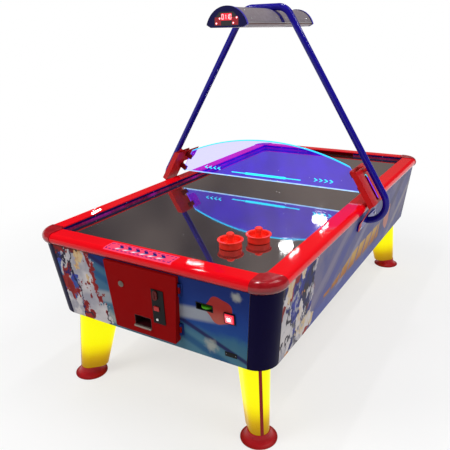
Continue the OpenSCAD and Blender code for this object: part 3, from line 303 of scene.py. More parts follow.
def door_place():
    """Matrix from the coin door's sloping face (x across, y up it, z out of it) to the frame."""
    tilt = math.atan2(DOOR_FOOT - DOOR_PROUD, DOOR_H)
    foot = Matrix.Translation((0, DOOR_V, DOOR_FOOT))
    return panel_place("front") @ foot @ Matrix.Rotation(-tilt, 4, "X")


def arm_place(side):
    """Matrix from a gantry arm's axes (x square to it and outward, z up it) to the frame."""
    lean_s, lean_c = math.sin(ARM_LEAN), math.cos(ARM_LEAN)
    square = (side * lean_c, 0, lean_s)
    up = (-side * lean_s, 0, lean_c)
    return place_of(square, (0, 1, 0), up, (side * ARM_SPOT[0], 0, ARM_SPOT[1]))


# Inks of the panel prints

SNOW = srgb(196, 190, 190)
STONE = srgb(150, 148, 158)
BRICK = srgb(146, 44, 40)
RUST = srgb(124, 28, 30)
INDIGO = srgb(56, 62, 146)
MIDNIGHT = srgb(30, 34, 92)
COAL = srgb(44, 38, 48)
AMBER = srgb(186, 126, 66)
SAND = srgb(196, 172, 132)
LAGOON = srgb(58, 98, 140)


# Finishes

def rail_finish():
    """Glossy red moulding, painted darker as shade where the bullnose curves downward."""
    s = Shader("rail_red_shaded_underside")
    z = s.axes()[2]
    # painted shade: the rail's colour darkens low on the bullnose, where less light falls
    underside_shade = s.step(z, 0.752, 0.784)
    base = s.mix(underside_shade, srgb(150, 1, 9), srgb(226, 3, 19))
    mottle = s.noise(6.0)
    base = s.mix(s.times(mottle, 0.2), base, srgb(244, 18, 32))
    peel = s.noise(90.0, 2.0)
    return s.skin(base, mottle, (0.03, 0.06), Specular_IOR_Level=0.22, Normal=s.bump(peel, 0.05, 0.0006))


def cap_finish():
    """Darker red corner moulding with a dimpled, polished skin, painted darker still as shade where it curves
    downward.
    """
    s = Shader("cap_red_shaded_underside")
    z = s.axes()[2]
    mottle = s.noise(30.0, 4.0)
    # painted shade: the cap turns darker low down, where it curves away from the light
    underside_shade = s.step(z, 0.756, 0.785)
    base = s.mix(mottle, srgb(132, 6, 16), srgb(176, 18, 30))
    base = s.mix(underside_shade, srgb(104, 4, 10), base)
    peel = s.noise(70.0, 2.0)
    return s.skin(base, mottle, (0.08, 0.16), Specular_IOR_Level=0.5, Normal=s.bump(peel, 0.5, 0.0022))


def field_finish():
    """Polished grey laminate with fine speckle and a drilled air grid whose holes are painted dark as shade."""
    s = Shader("playfield_laminate_shaded_holes")
    x, y, _ = s.axes()
    speckle = s.noise(700.0, 2.0)
    cloud = s.noise(3.0)
    base = s.mix(speckle, srgb(34, 28, 28), srgb(54, 46, 45))
    base = s.mix(s.times(cloud, 0.5), base, srgb(64, 55, 53))
    pitch = 0.025
    dx = s.math("PINGPONG", x, pitch / 2)
    dy = s.math("PINGPONG", y, pitch / 2)
    gap = s.length(dx, dy)
    # painted shade: each air hole is coloured near black for the shade inside it
    hole_and_shade = s.fade(gap, 0.0006, 0.0011)
    base = s.mix(hole_and_shade, base, srgb(14, 12, 14))
    wipe = s.noise(1.0, 3.0, s.scaled(s.coords(), (30.0, 4.0, 1.0)))
    return s.principled(Base_Color=base, Roughness=s.step(wipe, 0.25, 0.75, 0.025, 0.055), IOR=9.0,
                        Normal=s.bump(hole_and_shade, 0.3, -0.0006))


def trim_finish():
    """Red edging of the field, with a painted violet glow in places that stands in for the shield's light
    falling on it.
    """
    s = Shader("trim_red_painted_glow")
    y = s.axes()[1]
    drift = s.noise(2.2)
    # painted light: a violet glow, strongest near the shield in the middle, stands in for the shield's light on
    # the edging
    near = s.step(s.size(y), 0.1, 0.95, 1.0, 0.3)
    near = s.times(near, s.step(s.noise(5.0), 0.42, 0.62, 0.12, 1.0))
    glow = s.mix(s.step(drift, 0.40, 0.60), srgb(130, 0, 70), srgb(190, 30, 230))
    mottle = s.noise(60.0)
    base = s.mix(mottle, srgb(96, 6, 22), srgb(140, 12, 34))
    return s.skin(base, mottle, (0.22, 0.34), Specular_IOR_Level=0.25, Emission_Color=glow,
                  Emission_Strength=s.times(near, 0.5))


def shield_finish():
    """Edge-lit blue acrylic: clear faces that glow softly, bright cyan edges."""
    s = Shader("shield_acrylic")
    rim = s.fade(s.facing(1), 0.4, 0.6)
    x, _, z = s.axes()
    rise = s.minus(z, SHIELD_ARC_Z)
    reach = s.length(x, rise)
    arch = s.step(reach, SHIELD_ARC_R - 0.008, SHIELD_ARC_R - 0.004)
    foot = s.fade(z, 0.836, 0.840)
    haze = s.noise(7.0)
    face_glow = s.mix(s.step(z, 0.86, 1.0), srgb(64, 10, 255), srgb(58, 0, 255))
    side = s.step(s.size(x), 0.47, 0.54)
    edge_glow = s.mix(side, srgb(52, 220, 255), srgb(140, 70, 255))
    foot_glow = s.mix(s.noise(26.0, 2.0), srgb(70, 180, 255), srgb(225, 245, 255))
    line = s.most(rim, arch)
    glow = s.mix(line, face_glow, edge_glow)
    glow = s.mix(foot, glow, foot_glow)
    bright = s.most(line, foot)
    alpha = s.step(bright, 0.0, 1.0, 0.14, 0.95)
    inner = s.step(haze, 0.35, 0.65, 1.7, 2.3)
    strength = s.plus(s.times(inner, s.minus(1.0, bright)), s.times(bright, 1.3))
    return s.principled(Base_Color=srgb(26, 18, 120), Roughness=0.05, Specular_IOR_Level=0.06, Alpha=alpha,
                        Emission_Color=glow, Emission_Strength=strength)


def leg_finish():
    """Translucent yellow leg shade, lit from within and browner towards the floor."""
    s = Shader("leg_shade")
    z = s.axes()[2]
    cloud = s.noise(5.0, 2.0)
    height = s.plus(z, s.times(cloud, 0.03))
    glow = s.ramp(s.step(height, 0.05, 0.26),
                  (0.0, srgb(158, 112, 6)), (0.25, srgb(198, 156, 4)), (0.55, srgb(240, 218, 0)),
                  (0.8, srgb(255, 248, 0)), (1.0, srgb(255, 255, 4)))
    grain = s.noise(240.0, 2.0)
    return s.principled(Base_Color=srgb(104, 84, 2), Roughness=s.step(grain, 0.3, 0.7, 0.26, 0.34),
                        Specular_IOR_Level=0.1, Emission_Color=glow, Emission_Strength=0.9,
                        Normal=s.bump(grain, 0.05, 0.0006))


def foot_finish():
    """Red enamelled foot, darker along its lowest centimetre."""
    s = Shader("foot_red")
    z = s.axes()[2]
    mottle = s.noise(30.0, 4.0)
    low = s.fade(z, 0.0, 0.010)
    base = s.mix(mottle, srgb(150, 8, 18), srgb(190, 24, 32))
    base = s.mix(s.times(low, 0.5), base, srgb(90, 12, 16))
    return s.skin(base, mottle, (0.3, 0.45), Specular_IOR_Level=0.25,
                  Normal=s.bump(s.noise(500.0, 2.0), 0.1, 0.0005))


def board_finish():
    """Raw particle board: chips of pale and dark wood."""
    s = Shader("raw_board")
    chips = s.cells(160.0)
    flecks = s.noise(90.0, 5.0)
    base = s.mix(chips, srgb(196, 160, 112), srgb(140, 104, 66))
    base = s.mix(s.times(flecks, 0.5), base, srgb(214, 186, 142))
    return s.principled(Base_Color=base, Roughness=0.8, Normal=s.bump(flecks, 0.3, 0.0008))


def lamp_finish():
    """Brushed lamp housing: warm grey metal with fine grain along its length."""
    s = Shader("lamp_metal")
    z = s.axes()[2]
    grain = s.noise(1.0, 5.0, s.scaled(s.coords(), (700.0, 9.0, 700.0)))
    blotch = s.noise(60.0, 5.0)
    base = s.mix(grain, srgb(124, 116, 122), srgb(166, 158, 168))
    base = s.mix(s.times(blotch, 0.6), base, srgb(122, 110, 110))
    low = s.band(z, 1.676, 1.688, 0.003)
    base = s.mix(s.times(low, 0.75), base, srgb(104, 72, 62))
    return s.skin(base, blotch, (0.34, 0.5), Metallic=0.4, Normal=s.bump(grain, 0.3, 0.0004))


def lamp_cap_finish():
    """Lamp end: near-black blue face inside a brighter blue rim."""
    s = Shader("lamp_cap_blue")
    mottle = s.noise(30.0)
    face = s.step(s.facing(1), 0.5, 0.8)
    rim = s.mix(mottle, srgb(46, 34, 150), srgb(72, 60, 184))
    base = s.mix(face, rim, s.mix(mottle, srgb(6, 2, 54), srgb(14, 8, 74)))
    return s.skin(base, mottle, (0.3, 0.42), Specular_IOR_Level=0.2,
                  Normal=s.bump(s.noise(700.0, 2.0), 0.06, 0.0004, s.soft_edge(0.001)))


def cup_finish():
    """Coin return: a well painted dark red as the shade inside it, with a worn metal lip in front of the door's
    face.
    """
    s = Shader("coin_cup")
    place = door_place()
    depth = s.along(place.col[2].to_3d(), place.translation)
    lip = s.step(depth, 0.0002, 0.0008)
    worn = s.noise(140.0)
    # painted shade: the inside of the cup is coloured dark
    well_shade = s.mix(worn, srgb(40, 3, 9), srgb(58, 8, 16))
    bare = s.mix(worn, srgb(112, 98, 90), srgb(160, 146, 136))
    return s.skin(s.mix(lip, well_shade, bare), worn, (0.4, 0.55), Metallic=s.times(lip, 0.6),
                  Normal=s.soft_edge(0.0015))


def start_extent():
    """Lowest and highest corner of the start button in the front panel's own axes."""
    inverse = panel_place("front").inverted()
    local = [inverse @ v.co for v in NODES["start_button"].data.vertices]
    return [[pick(p[k] for p in local) for k in range(3)] for pick in (min, max)]


def bezel_finish():
    """Black button surround with a painted pink glow of the lens's light, most on its right and upper arms."""
    s = Shader("bezel_black_painted_glow")
    place = panel_place("front")
    low, high = start_extent()
    half = (high[0] - low[0]) / 2
    middle = place @ Vector(((low[0] + high[0]) / 2, (low[1] + high[1]) / 2, 0))
    across = s.along(place.col[0].to_3d(), middle)
    up = s.along(place.col[1].to_3d(), middle)
    reach = s.most(s.size(across), s.size(up))
    # painted light: the lens's pink glow on the surround, strongest next to the lens and on its right and upper
    # arms
    near = s.fade(reach, half + 0.001, half + 0.0045)
    lean = s.step(s.plus(across, up), -0.03, 0.03, 0.35, 1.0)
    cloud = s.noise(90.0)
    base = s.mix(cloud, srgb(10, 9, 11), srgb(18, 15, 18))
    glow = s.mix(near, srgb(150, 4, 30), srgb(255, 50, 84))
    return s.skin(base, cloud, (0.38, 0.5), Specular_IOR_Level=0.12, Emission_Color=glow,
                  Emission_Strength=s.times(near, lean),
                  Normal=s.bump(s.cells(1400.0), 0.25, 0.0003, s.soft_edge(0.001)))


def coords_of_panel(s, along):
    """(u, v, outward) on a cabinet panel: u along it, v up it, outward 1 on its printed face."""
    x, y, z = s.axes()
    u, across = (x, y) if along == "x" else (y, x)
    v = s.minus(z, FLOOR_Z)
    normal = s.node("ShaderNodeSeparateXYZ", {0: s.node("ShaderNodeNewGeometry").outputs["Normal"]})
    facing = s.times(normal.outputs[1 if along == "x" else 0], s.math("SIGN", across))
    return u, v, s.step(facing, 0.5, 0.7)


def polar(s, u, v, centre):
    """(distance, angle) from a point of the panel."""
    du = s.minus(u, centre[0])
    dv = s.minus(v, centre[1])
    return s.length(du, dv), s.math("ARCTAN2", dv, du)


def glint(s, u, v, centre, size):
    """A soft frost burst with a ragged rim."""
    reach, _ = polar(s, u, v, centre)
    ragged = s.plus(reach, s.times(s.minus(s.noise(60.0, 4.0), 0.5), size))
    return s.fade(ragged, size * 0.1, size)


def cog(s, u, v, centre, radius, lobes, depth):
    """A round shape with a wavy rim."""
    reach, angle = polar(s, u, v, centre)
    wave = s.times(s.math("COSINE", s.times(angle, float(lobes))), depth)
    return s.fade(s.plus(reach, wave), radius - 0.0015, radius + 0.0015)


def streak(s, u, v, slope, height, half, soft):
    """A straight band across the panel: centre line v = height + slope u."""
    line = s.minus(v, s.plus(s.times(u, slope), height))
    return s.band(line, -half, half, soft)


def brushwork(s, seed, strokes):
    """Painterly cover: strokes of ink (two tones, scale, level, width) over a pale ground."""
    picture = s.mix(s.step(s.noise(9.0, 4.0), 0.35, 0.65), SNOW, STONE)
    for k, (ink, shade, scale, level, width) in enumerate(strokes):
        spot = s.placed((seed + 2.7 * k, 1.3 * k, 0.8 * seed), (0.7, 0.7, 0.0), (1.0, 1.0, 0.62))
        body = s.noise(scale, 5.0, spot, 0.55)
        mask = s.band(body, level, level + width, 0.006)
        tone = s.step(s.noise(scale * 4.0, 3.0, spot), 0.4, 0.6)
        picture = s.mix(mask, picture, s.mix(tone, ink, shade))
    return picture


def printed(s, picture, outward):
    """Vinyl print on the outer face, raw board on the edges and inside."""
    chips = s.noise(120.0, 4.0)
    board = s.mix(chips, srgb(120, 88, 56), srgb(176, 138, 94))
    base = s.mix(outward, board, picture)
    fleck = s.noise(900.0, 2.0)
    rough = s.step(outward, 0.0, 1.0, 0.8, 0.42)
    return s.principled(Base_Color=base, Roughness=rough, Specular_IOR_Level=0.05,
                        Normal=s.bump(fleck, 0.05, 0.0004))


def end_print():
    """Ice-blue print of the end panels: deep blue over teal, a pale beam, frost glints, a patchwork."""
    s = Shader("panel_end_print")
    u, v, outward = coords_of_panel(s, "x")
    frost = s.noise(9.0, 5.0, rough=0.62)
    drift = s.minus(frost, 0.5)
    height = s.plus(v, s.times(drift, 0.10))
    sky = s.ramp(s.step(height, 0.0, 0.36),
                 (0.0, srgb(66, 106, 122)), (0.20, srgb(52, 96, 124)), (0.36, srgb(30, 66, 130)),
                 (0.70, srgb(27, 56, 124)), (1.0, srgb(22, 40, 100)))
    teal = s.fade(s.plus(s.times(u, 0.42), v), 0.19, 0.24)
    sky = s.mix(s.times(teal, 0.75), sky, srgb(70, 112, 132))
    lower = streak(s, u, v, -0.42, 0.155, 0.020, 0.012)
    sky = s.mix(s.times(lower, 0.9), sky, srgb(36, 78, 118))
    dark = streak(s, u, v, -0.42, 0.232, 0.011, 0.006)
    sky = s.mix(s.times(dark, 0.9), sky, srgb(32, 28, 74))
    beam = s.times(streak(s, u, v, 0.10, 0.178, 0.030, 0.012), s.fade(u, 0.30, 0.42))
    sky = s.mix(s.times(beam, 0.9), sky, srgb(146, 150, 156))
    wheel = cog(s, u, v, (0.372, 0.246), 0.062, 5, 0.004)
    fade = s.fade(s.plus(v, s.times(drift, 0.1)), 0.18, 0.25)
    wheel_ink = s.mix(fade, srgb(148, 42, 38), srgb(166, 84, 74))
    sky = s.mix(wheel, sky, wheel_ink)
    for centre, size in (((0.455, 0.330), 0.030), ((0.315, 0.066), 0.045), ((-0.22, 0.05), 0.05)):
        sky = s.mix(s.times(glint(s, u, v, centre, size), 0.8), sky, srgb(160, 160, 150))
    patches = brushwork(s, 4.0, (
        (LAGOON, INDIGO, 6.0, 0.55, 1.0), (BRICK, RUST, 7.0, 0.53, 1.0), (AMBER, SAND, 11.0, 0.60, 1.0),
        (COAL, MIDNIGHT, 5.0, 0.485, 0.022), (SNOW, STONE, 8.0, 0.60, 1.0), (COAL, RUST, 14.0, 0.63, 1.0)))
    left = s.fade(s.plus(u, s.times(drift, 0.36)), -0.262, -0.254)
    return printed(s, s.mix(left, sky, patches), outward)


def side_print():
    """Grey-lavender print of the side panels: icy streaks, a row of gold blocks, a blue foot band."""
    s = Shader("panel_side_print")
    u, v, outward = coords_of_panel(s, "y")
    frost = s.noise(7.0, 5.0, rough=0.6)
    drift = s.minus(frost, 0.5)
    ice = s.mix(s.step(frost, 0.3, 0.7), srgb(86, 88, 132), srgb(116, 110, 132))
    for height, half, colour, share in (
            (0.50, 0.03, srgb(124, 118, 140), 0.8), (0.40, 0.04, srgb(74, 78, 138), 0.8),
            (0.24, 0.025, srgb(140, 136, 156), 0.7), (0.10, 0.03, srgb(78, 82, 136), 0.7),
            (-0.10, 0.04, srgb(82, 78, 104), 0.7), (-0.32, 0.03, srgb(150, 144, 148), 0.7),
            (-0.46, 0.02, srgb(96, 92, 104), 0.7)):
        ice = s.mix(s.times(streak(s, u, v, 0.55, height, half, 0.012), share), ice, colour)
    foot = s.fade(s.plus(v, s.times(drift, 0.03)), 0.055, 0.064)
    foot = s.times(foot, s.step(u, 0.3, 0.6, 1.0, 0.3))
    ice = s.mix(s.times(foot, 0.85), ice, s.mix(frost, srgb(70, 72, 146), srgb(92, 104, 156)))
    top = s.step(u, -0.52, -0.05, 0.012, 0.085)
    row = s.times(s.step(v, 0.078, 0.081), s.fade(s.minus(v, top), 0.084, 0.088))
    row = s.times(row, s.band(u, -0.54, 0.36, 0.01))
    slant = s.minus(u, s.times(v, 0.5))
    block = s.step(s.math("PINGPONG", slant, 0.062), 0.009, 0.012)
    sheen = s.step(s.plus(v, s.times(drift, 0.1)), 0.08, 0.17)
    gold = s.mix(sheen, srgb(158, 100, 48), srgb(190, 152, 84))
    ice = s.mix(s.times(row, block), ice, gold)
    spot = cog(s, u, s.times(v, 0.8), (0.52, 0.125), 0.062, 3, 0.008)
    ice = s.mix(s.times(spot, 0.85), ice, srgb(190, 128, 110))
    patches = brushwork(s, 9.0, (
        (COAL, MIDNIGHT, 5.0, 0.52, 1.0), (BRICK, RUST, 6.0, 0.535, 1.0), (INDIGO, MIDNIGHT, 7.0, 0.57, 1.0),
        (COAL, STONE, 5.0, 0.485, 0.025), (SAND, SNOW, 7.0, 0.59, 1.0), (BRICK, AMBER, 9.0, 0.63, 1.0)))
    near = s.fade(s.plus(u, s.times(drift, 0.40)), -0.70, -0.69)
    return printed(s, s.mix(near, ice, patches), outward)


def label_finish(low, high, depth):
    """Pink rail label with a dashed border and a row of plain chevrons (UV in metres)."""
    s = Shader("rail_label")
    u, v, _ = s.axes("UV")
    wash = s.noise(30.0)
    base = s.mix(wash, srgb(248, 52, 96), srgb(255, 78, 112))
    middle = (low + high) / 2
    side = s.minus((high - low) / 2, s.size(s.minus(u, middle)))
    end = s.minus(depth / 2, s.size(s.minus(v, depth / 2)))
    frame_line = s.band(s.math("MINIMUM", side, end), 0.008, 0.0125, 0.0006)
    dash = s.step(s.math("PINGPONG", s.plus(u, v), 0.011), 0.0035, 0.0045)
    navy = srgb(36, 18, 104)
    base = s.mix(s.times(frame_line, dash), base, navy)
    lean = s.size(s.minus(v, depth / 2))
    pitch = 0.044
    run = s.math("WRAP", s.plus(u, lean), pitch, 0.0)
    inside = s.times(s.band(u, low + 0.055, high - 0.045, 0.001), s.band(lean, -1.0, 0.019, 0.001))
    shape = s.times(s.band(run, 0.012, 0.032, 0.001), inside)
    base = s.mix(shape, base, s.mix(s.step(v, depth * 0.5, depth * 0.75), navy, srgb(226, 218, 232)))
    return s.skin(base, wash, (0.12, 0.2), Specular_IOR_Level=0.3)


def display_finish():
    """Smoked display window."""
    s = Shader("display_smoke")
    cloud = s.noise(40.0)
    base = s.mix(cloud, srgb(8, 4, 8), srgb(22, 10, 16))
    return s.skin(base, cloud, (0.12, 0.2))


# Finish of each material slot, and of the nodes that differ from their slot

RED_PAINT = painted("bracket_red", srgb(186, 22, 24), 0.36, 0.25, peel=0.1)
CLIP_RED = painted("clip_red", srgb(120, 10, 16), 0.4, 0.2)
DOOR_RED = painted("door_red", srgb(134, 10, 11), 0.6, 0.02, vary=0.05, peel=0.2, grain=700.0)
NAVY = painted("column_navy", srgb(8, 2, 44), 0.34, 0.04)
TUBE_BLUE = painted("tube_blue", srgb(18, 6, 128), 0.2, 0.28, edge=0.0005)
WALL_BLUE = painted("wall_blue", srgb(16, 10, 80), 0.35, 0.1)
HINGE_BLUE = painted("hinge_blue", srgb(24, 44, 104), 0.5, 0.06)
POST_RED = painted("post_red", srgb(140, 8, 18), 0.4)
ZINC = metal("zinc", (0.62, 0.62, 0.64, 1), 0.25, (300.0, 300.0, 300.0))
STEEL = metal("steel", (0.50, 0.50, 0.52, 1), 0.35)
LOCK_METAL = metal("lock_metal", (0.15, 0.13, 0.11, 1), 0.34, (600.0, 600.0, 60.0))
BLACK = moulded("black_plastic", srgb(13, 12, 14), 0.45, gloss=0.12)
GREY = moulded("grey_plastic", srgb(96, 96, 100), 0.5)
ENTRY_RED = moulded("entry_red", srgb(84, 16, 16), 0.42, gloss=0.15)
BUTTON_RED = moulded("reject_red", srgb(172, 30, 30), 0.4)
STRIKER_RED = moulded("striker_red", srgb(255, 52, 36), 0.3, 0.06, 0.1)
PUCK_GREEN = moulded("puck_green", srgb(70, 158, 14), 0.4)
# painted highlight: the chrome screw on the coin plate is coloured plain white for its bright reflection
SCREW_PAINTED_HIGHLIGHT = moulded("screw_painted_highlight", srgb(226, 226, 222), 0.3)
BOARD = board_finish()
GLOW_WHITE = lit("diffuser_white", srgb(235, 235, 240), srgb(255, 250, 246), 1.0)
LEG_LAMP = lit("leg_lamp", srgb(255, 240, 120), srgb(255, 236, 120), 1.2)
LED_RED = lit("led_red", srgb(160, 10, 26), srgb(255, 36, 60), 1.0)
LED_DIM = lit("led_dim", srgb(90, 4, 16), srgb(150, 6, 30), 0.7, ripple=400.0)
LED_PINK = lit("led_pink", srgb(255, 110, 120), srgb(255, 96, 104), 1.0)
LED_HOT = lit("led_hot", srgb(255, 214, 218), srgb(255, 226, 230), 1.3)
VIOLET = lit("edge_violet", srgb(120, 50, 220), srgb(122, 36, 255), 1.3)
DUSK = lit("edge_dusk", srgb(120, 20, 70), srgb(150, 20, 110), 0.7)
CYAN = lit("etched_cyan", srgb(60, 220, 255), srgb(44, 232, 255), 1.05)

FINISHES = {
    "panel_end": end_print(), "panel_side": side_print(), "column": NAVY, "raw_board": BOARD,
    "playfield": field_finish(), "rail": rail_finish(), "rail_cap": cap_finish(), "field_wall": WALL_BLUE,
    "field_trim": trim_finish(), "fastener": ZINC, "chute": STEEL, "outlet": BLACK, "puck": PUCK_GREEN,
    "leg_post": POST_RED, "leg_cover": leg_finish(), "foot": foot_finish(), "light": LEG_LAMP,
    "gantry": TUBE_BLUE, "bracket": RED_PAINT, "shield": shield_finish(), "lamp_body": lamp_finish(),
    "lamp_cap": lamp_cap_finish(), "score_panel": display_finish(), "diffuser": GLOW_WHITE,
    "light_tube": GLOW_WHITE, "door": DOOR_RED, "door_frame": DOOR_RED, "lock": LOCK_METAL,
    "plug": LOCK_METAL, "coin_plate": BLACK, "coin_entry": ENTRY_RED, "coin_cup": cup_finish(),
    "inner_plastic": GREY, "sheet_steel": STEEL, "bezel": bezel_finish(), "button": LED_RED, "motor": GREY,
    "impeller": GREY, "striker": STRIKER_RED,
}
OWN_FINISHES = {
    "shield_clips": CLIP_RED, "shield_screws": CLIP_RED, "door_hinges": HINGE_BLUE, "lamp_saddle": TUBE_BLUE,
    "reject_button": BUTTON_RED, "power_switch": BUTTON_RED,
}


def dress_nodes():
    """Every CAD node takes its own finish, or else that of its material slot."""
    for name, node in NODES.items():
        for index, material in enumerate(node.data.materials):
            slot = material.name.split(".")[0]
            node.data.materials[index] = OWN_FINISHES.get(name) or FINISHES[slot]


# Mesh building

# Edges sharper than these angles are bevelled, or stay sharp under smooth shading
SHARP_BEVEL = 0.6
SHARP_SHADE = math.radians(35)


def linked(name, data):
    """A new object of the scene."""
    made = bpy.data.objects.new(name, data)
    bpy.context.scene.collection.objects.link(made)
    return made


def object_of(mesh, name, materials, smooth=True):
    """A scene object from a finished bmesh."""
    data = bpy.data.meshes.new(name)
    mesh.to_mesh(data)
    mesh.free()
    for material in materials:
        data.materials.append(material)
    if smooth:
        data.shade_smooth()
        data.set_sharp_from_angle(angle=SHARP_SHADE)
    return linked(name, data)


class Builder:
    """Collects closed shapes into one mesh piece."""

    def __init__(self):
        self.mesh = bmesh.new()

    def shape(self, points, faces, place=None, mat=0):
        place = place or Matrix.Identity(4)
        made = [self.mesh.verts.new(place @ Vector(p)) for p in points]
        for face in faces:
            new = self.mesh.faces.new([made[i] for i in face])
            new.material_index = mat

    def prism(self, outline, low, high, place=None, mat=0):
        """A flat outline (u, v) given depth from low to high along w."""
        count = len(outline)
        points = [(u, v, low) for u, v in outline] + [(u, v, high) for u, v in outline]
        faces = [tuple(reversed(range(count))), tuple(range(count, 2 * count))]
        for i in range(count):
            j = (i + 1) % count
            faces.append((i, j, count + j, count + i))
        self.shape(points, faces, place, mat)

    def lathe(self, profile, place=None, steps=24, mat=0):
        """A closed (radius, height) profile turned about w; ends on the axis."""
        rings = len(profile)
        points = []
        for k in range(steps):
            turn = 2 * math.pi * k / steps
            points += [(r * math.cos(turn), r * math.sin(turn), h) for r, h in profile]
        faces = []
        for k in range(steps):
            j = (k + 1) % steps
            for i in range(rings - 1):
                faces.append((k * rings + i, j * rings + i, j * rings + i + 1, k * rings + i + 1))
        faces.append(tuple(k * rings for k in reversed(range(steps))))
        faces.append(tuple(k * rings + rings - 1 for k in range(steps)))
        self.shape(points, faces, place, mat)

    def tube(self, path, radius, mat=0):
        """A round rod along a path of points."""
        steps = 10
        count = len(path)
        points = []
        for i, here in enumerate(path):
            before = path[max(i - 1, 0)]
            after = path[min(i + 1, count - 1)]
            ahead = (Vector(after) - Vector(before)).normalized()
            side = ahead.orthogonal() if i == 0 else side - ahead * side.dot(ahead)
            side.normalize()
            over = ahead.cross(side)
            for k in range(steps):
                turn = 2 * math.pi * k / steps
                points.append(Vector(here) + (side * math.cos(turn) + over * math.sin(turn)) * radius)
        faces = []
        for i in range(count - 1):
            j = i + 1
            for k in range(steps):
                m = (k + 1) % steps
                faces.append((i * steps + k, i * steps + m, j * steps + m, j * steps + k))
        faces.append(tuple(reversed(range(steps))))
        faces.append(tuple((count - 1) * steps + k for k in range(steps)))
        self.shape(points, faces, None, mat)

    def piece(self, name, materials, body="table", bevel=0.0):
        """The collected shapes as one object that rides on a body."""
        bmesh.ops.recalc_face_normals(self.mesh, faces=self.mesh.faces)
        if bevel:
            sharp = [e for e in self.mesh.edges if e.is_manifold and e.calc_face_angle(0) > SHARP_BEVEL]
            bmesh.ops.bevel(self.mesh, geom=sharp, offset=bevel, segments=2, affect="EDGES", profile=0.6)
        made = object_of(self.mesh, name, materials)
        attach(made, body)
        return made


def rounded(half_u, half_v, radius, steps=5):
    """Outline of a rectangle with round corners."""
    points = []
    for corner in range(4):
        cu = (half_u - radius) * (1 if corner in (0, 3) else -1)
        cv = (half_v - radius) * (1 if corner in (0, 1) else -1)
        for k in range(steps + 1):
            turn = math.pi / 2 * (corner + k / steps)
            points.append((cu + radius * math.cos(turn), cv + radius * math.sin(turn)))
    return points


def moved(outline, u, v):
    """The outline shifted by (u, v)."""
    return [(a + u, b + v) for a, b in outline]


def screw_profile(radius, height):
    """Round-head screw outline for lathe(): domed, with a small flat."""
    return [(radius, 0.0), (radius, height * 0.35), (radius * 0.86, height * 0.75),
            (radius * 0.5, height), (radius * 0.12, height)]


# Pieces

# Rail label: its ends, its inner edge from the rail's outer edge, the degrees of bullnose that it covers,
# and the heights of its two sides above the rail
LABEL_X = (-0.190, 0.165)
LABEL_INNER = 0.075
LABEL_TURN = 46
LABEL_SKIN = (0.00005, 0.0004)


def label_path():
    """Points (y, z) and normals over the front rail's flat top and round edge, from inside out."""
    flat_steps, round_steps = 4, 8
    flat = LABEL_INNER - RAIL_R
    points = [(-HALF_L + LABEL_INNER - flat * k / flat_steps, RAIL_TOP) for k in range(flat_steps + 1)]
    normals = [(0.0, 1.0)] * (flat_steps + 1)
    for k in range(1, round_steps + 1):
        turn = math.radians(90 - LABEL_TURN * k / round_steps)
        normal = (-math.cos(turn), math.sin(turn))
        points.append((-HALF_L + RAIL_R + RAIL_R * normal[0], RAIL_TOP - RAIL_R + RAIL_R * normal[1]))
        normals.append(normal)
    return points, normals


def rail_label():
    """Label that follows the front rail's top and its bullnose."""
    low, high = LABEL_X
    path, normals = label_path()
    lengths = [0.0]
    for a, b in zip(path, path[1:]):
        lengths.append(lengths[-1] + math.dist(a, b))
    steps = 12
    across = [low + (high - low) * i / steps for i in range(steps + 1)]
    rows = len(path) - 1
    mesh = bmesh.new()
    uv = mesh.loops.layers.uv.new("UVMap")
    grid = {}
    for layer, rise in enumerate(LABEL_SKIN):
        for i, x in enumerate(across):
            for j, ((y, z), (ny, nz)) in enumerate(zip(path, normals)):
                grid[layer, i, j] = mesh.verts.new((x, y + ny * rise, z + nz * rise))

    def face(*keys):
        made = mesh.faces.new([grid[k] for k in keys])
        for loop, (_, i, j) in zip(made.loops, keys):
            loop[uv].uv = (across[i], lengths[j])

    for i in range(steps):
        for j in range(rows):
            face((1, i, j), (1, i + 1, j), (1, i + 1, j + 1), (1, i, j + 1))
            face((0, i, j), (0, i, j + 1), (0, i + 1, j + 1), (0, i + 1, j))
        for j in (0, rows):
            face((0, i, j), (0, i + 1, j), (1, i + 1, j), (1, i, j))
    for j in range(rows):
        for i in (0, steps):
            face((0, i, j), (1, i, j), (1, i, j + 1), (0, i, j + 1))
    bmesh.ops.recalc_face_normals(mesh, faces=mesh.faces)
    made = object_of(mesh, "rail_label", [label_finish(low, high, lengths[-1])])
    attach(made, "table")


def chevron(u, v, wide, high, thick):
    """An arrowhead pointing along u."""
    return [(u, v - high), (u + thick, v - high), (u + thick + wide, v), (u + thick, v + high),
            (u, v + high), (u + wide, v)]


# Bare plate on the front panel: middle, half size, thickness, rivets' distance from the middle
PLATE_SPOT = (0.4075, 0.0478)
PLATE_HALF = (0.0275, 0.0115)
PLATE_T = 0.0012
PLATE_RIVET = 0.022


def info_plate():
    """Bare black plate low on the front panel, held by two rivets."""
    place = panel_place("front")
    made = Builder()
    made.prism(moved(rounded(*PLATE_HALF, 0.002), *PLATE_SPOT), 0.0, PLATE_T, place)
    for side in (-1, 1):
        spot = Matrix.Translation((PLATE_SPOT[0] + side * PLATE_RIVET, PLATE_SPOT[1], PLATE_T))
        made.lathe(screw_profile(0.0016, 0.0008), place @ spot, 12, 1)
    made.piece("info_plate", [BLACK, ZINC], bevel=0.0002)


# Lit bars of each numeral
SEGMENTS = {"0": "abcdef", "1": "bc"}


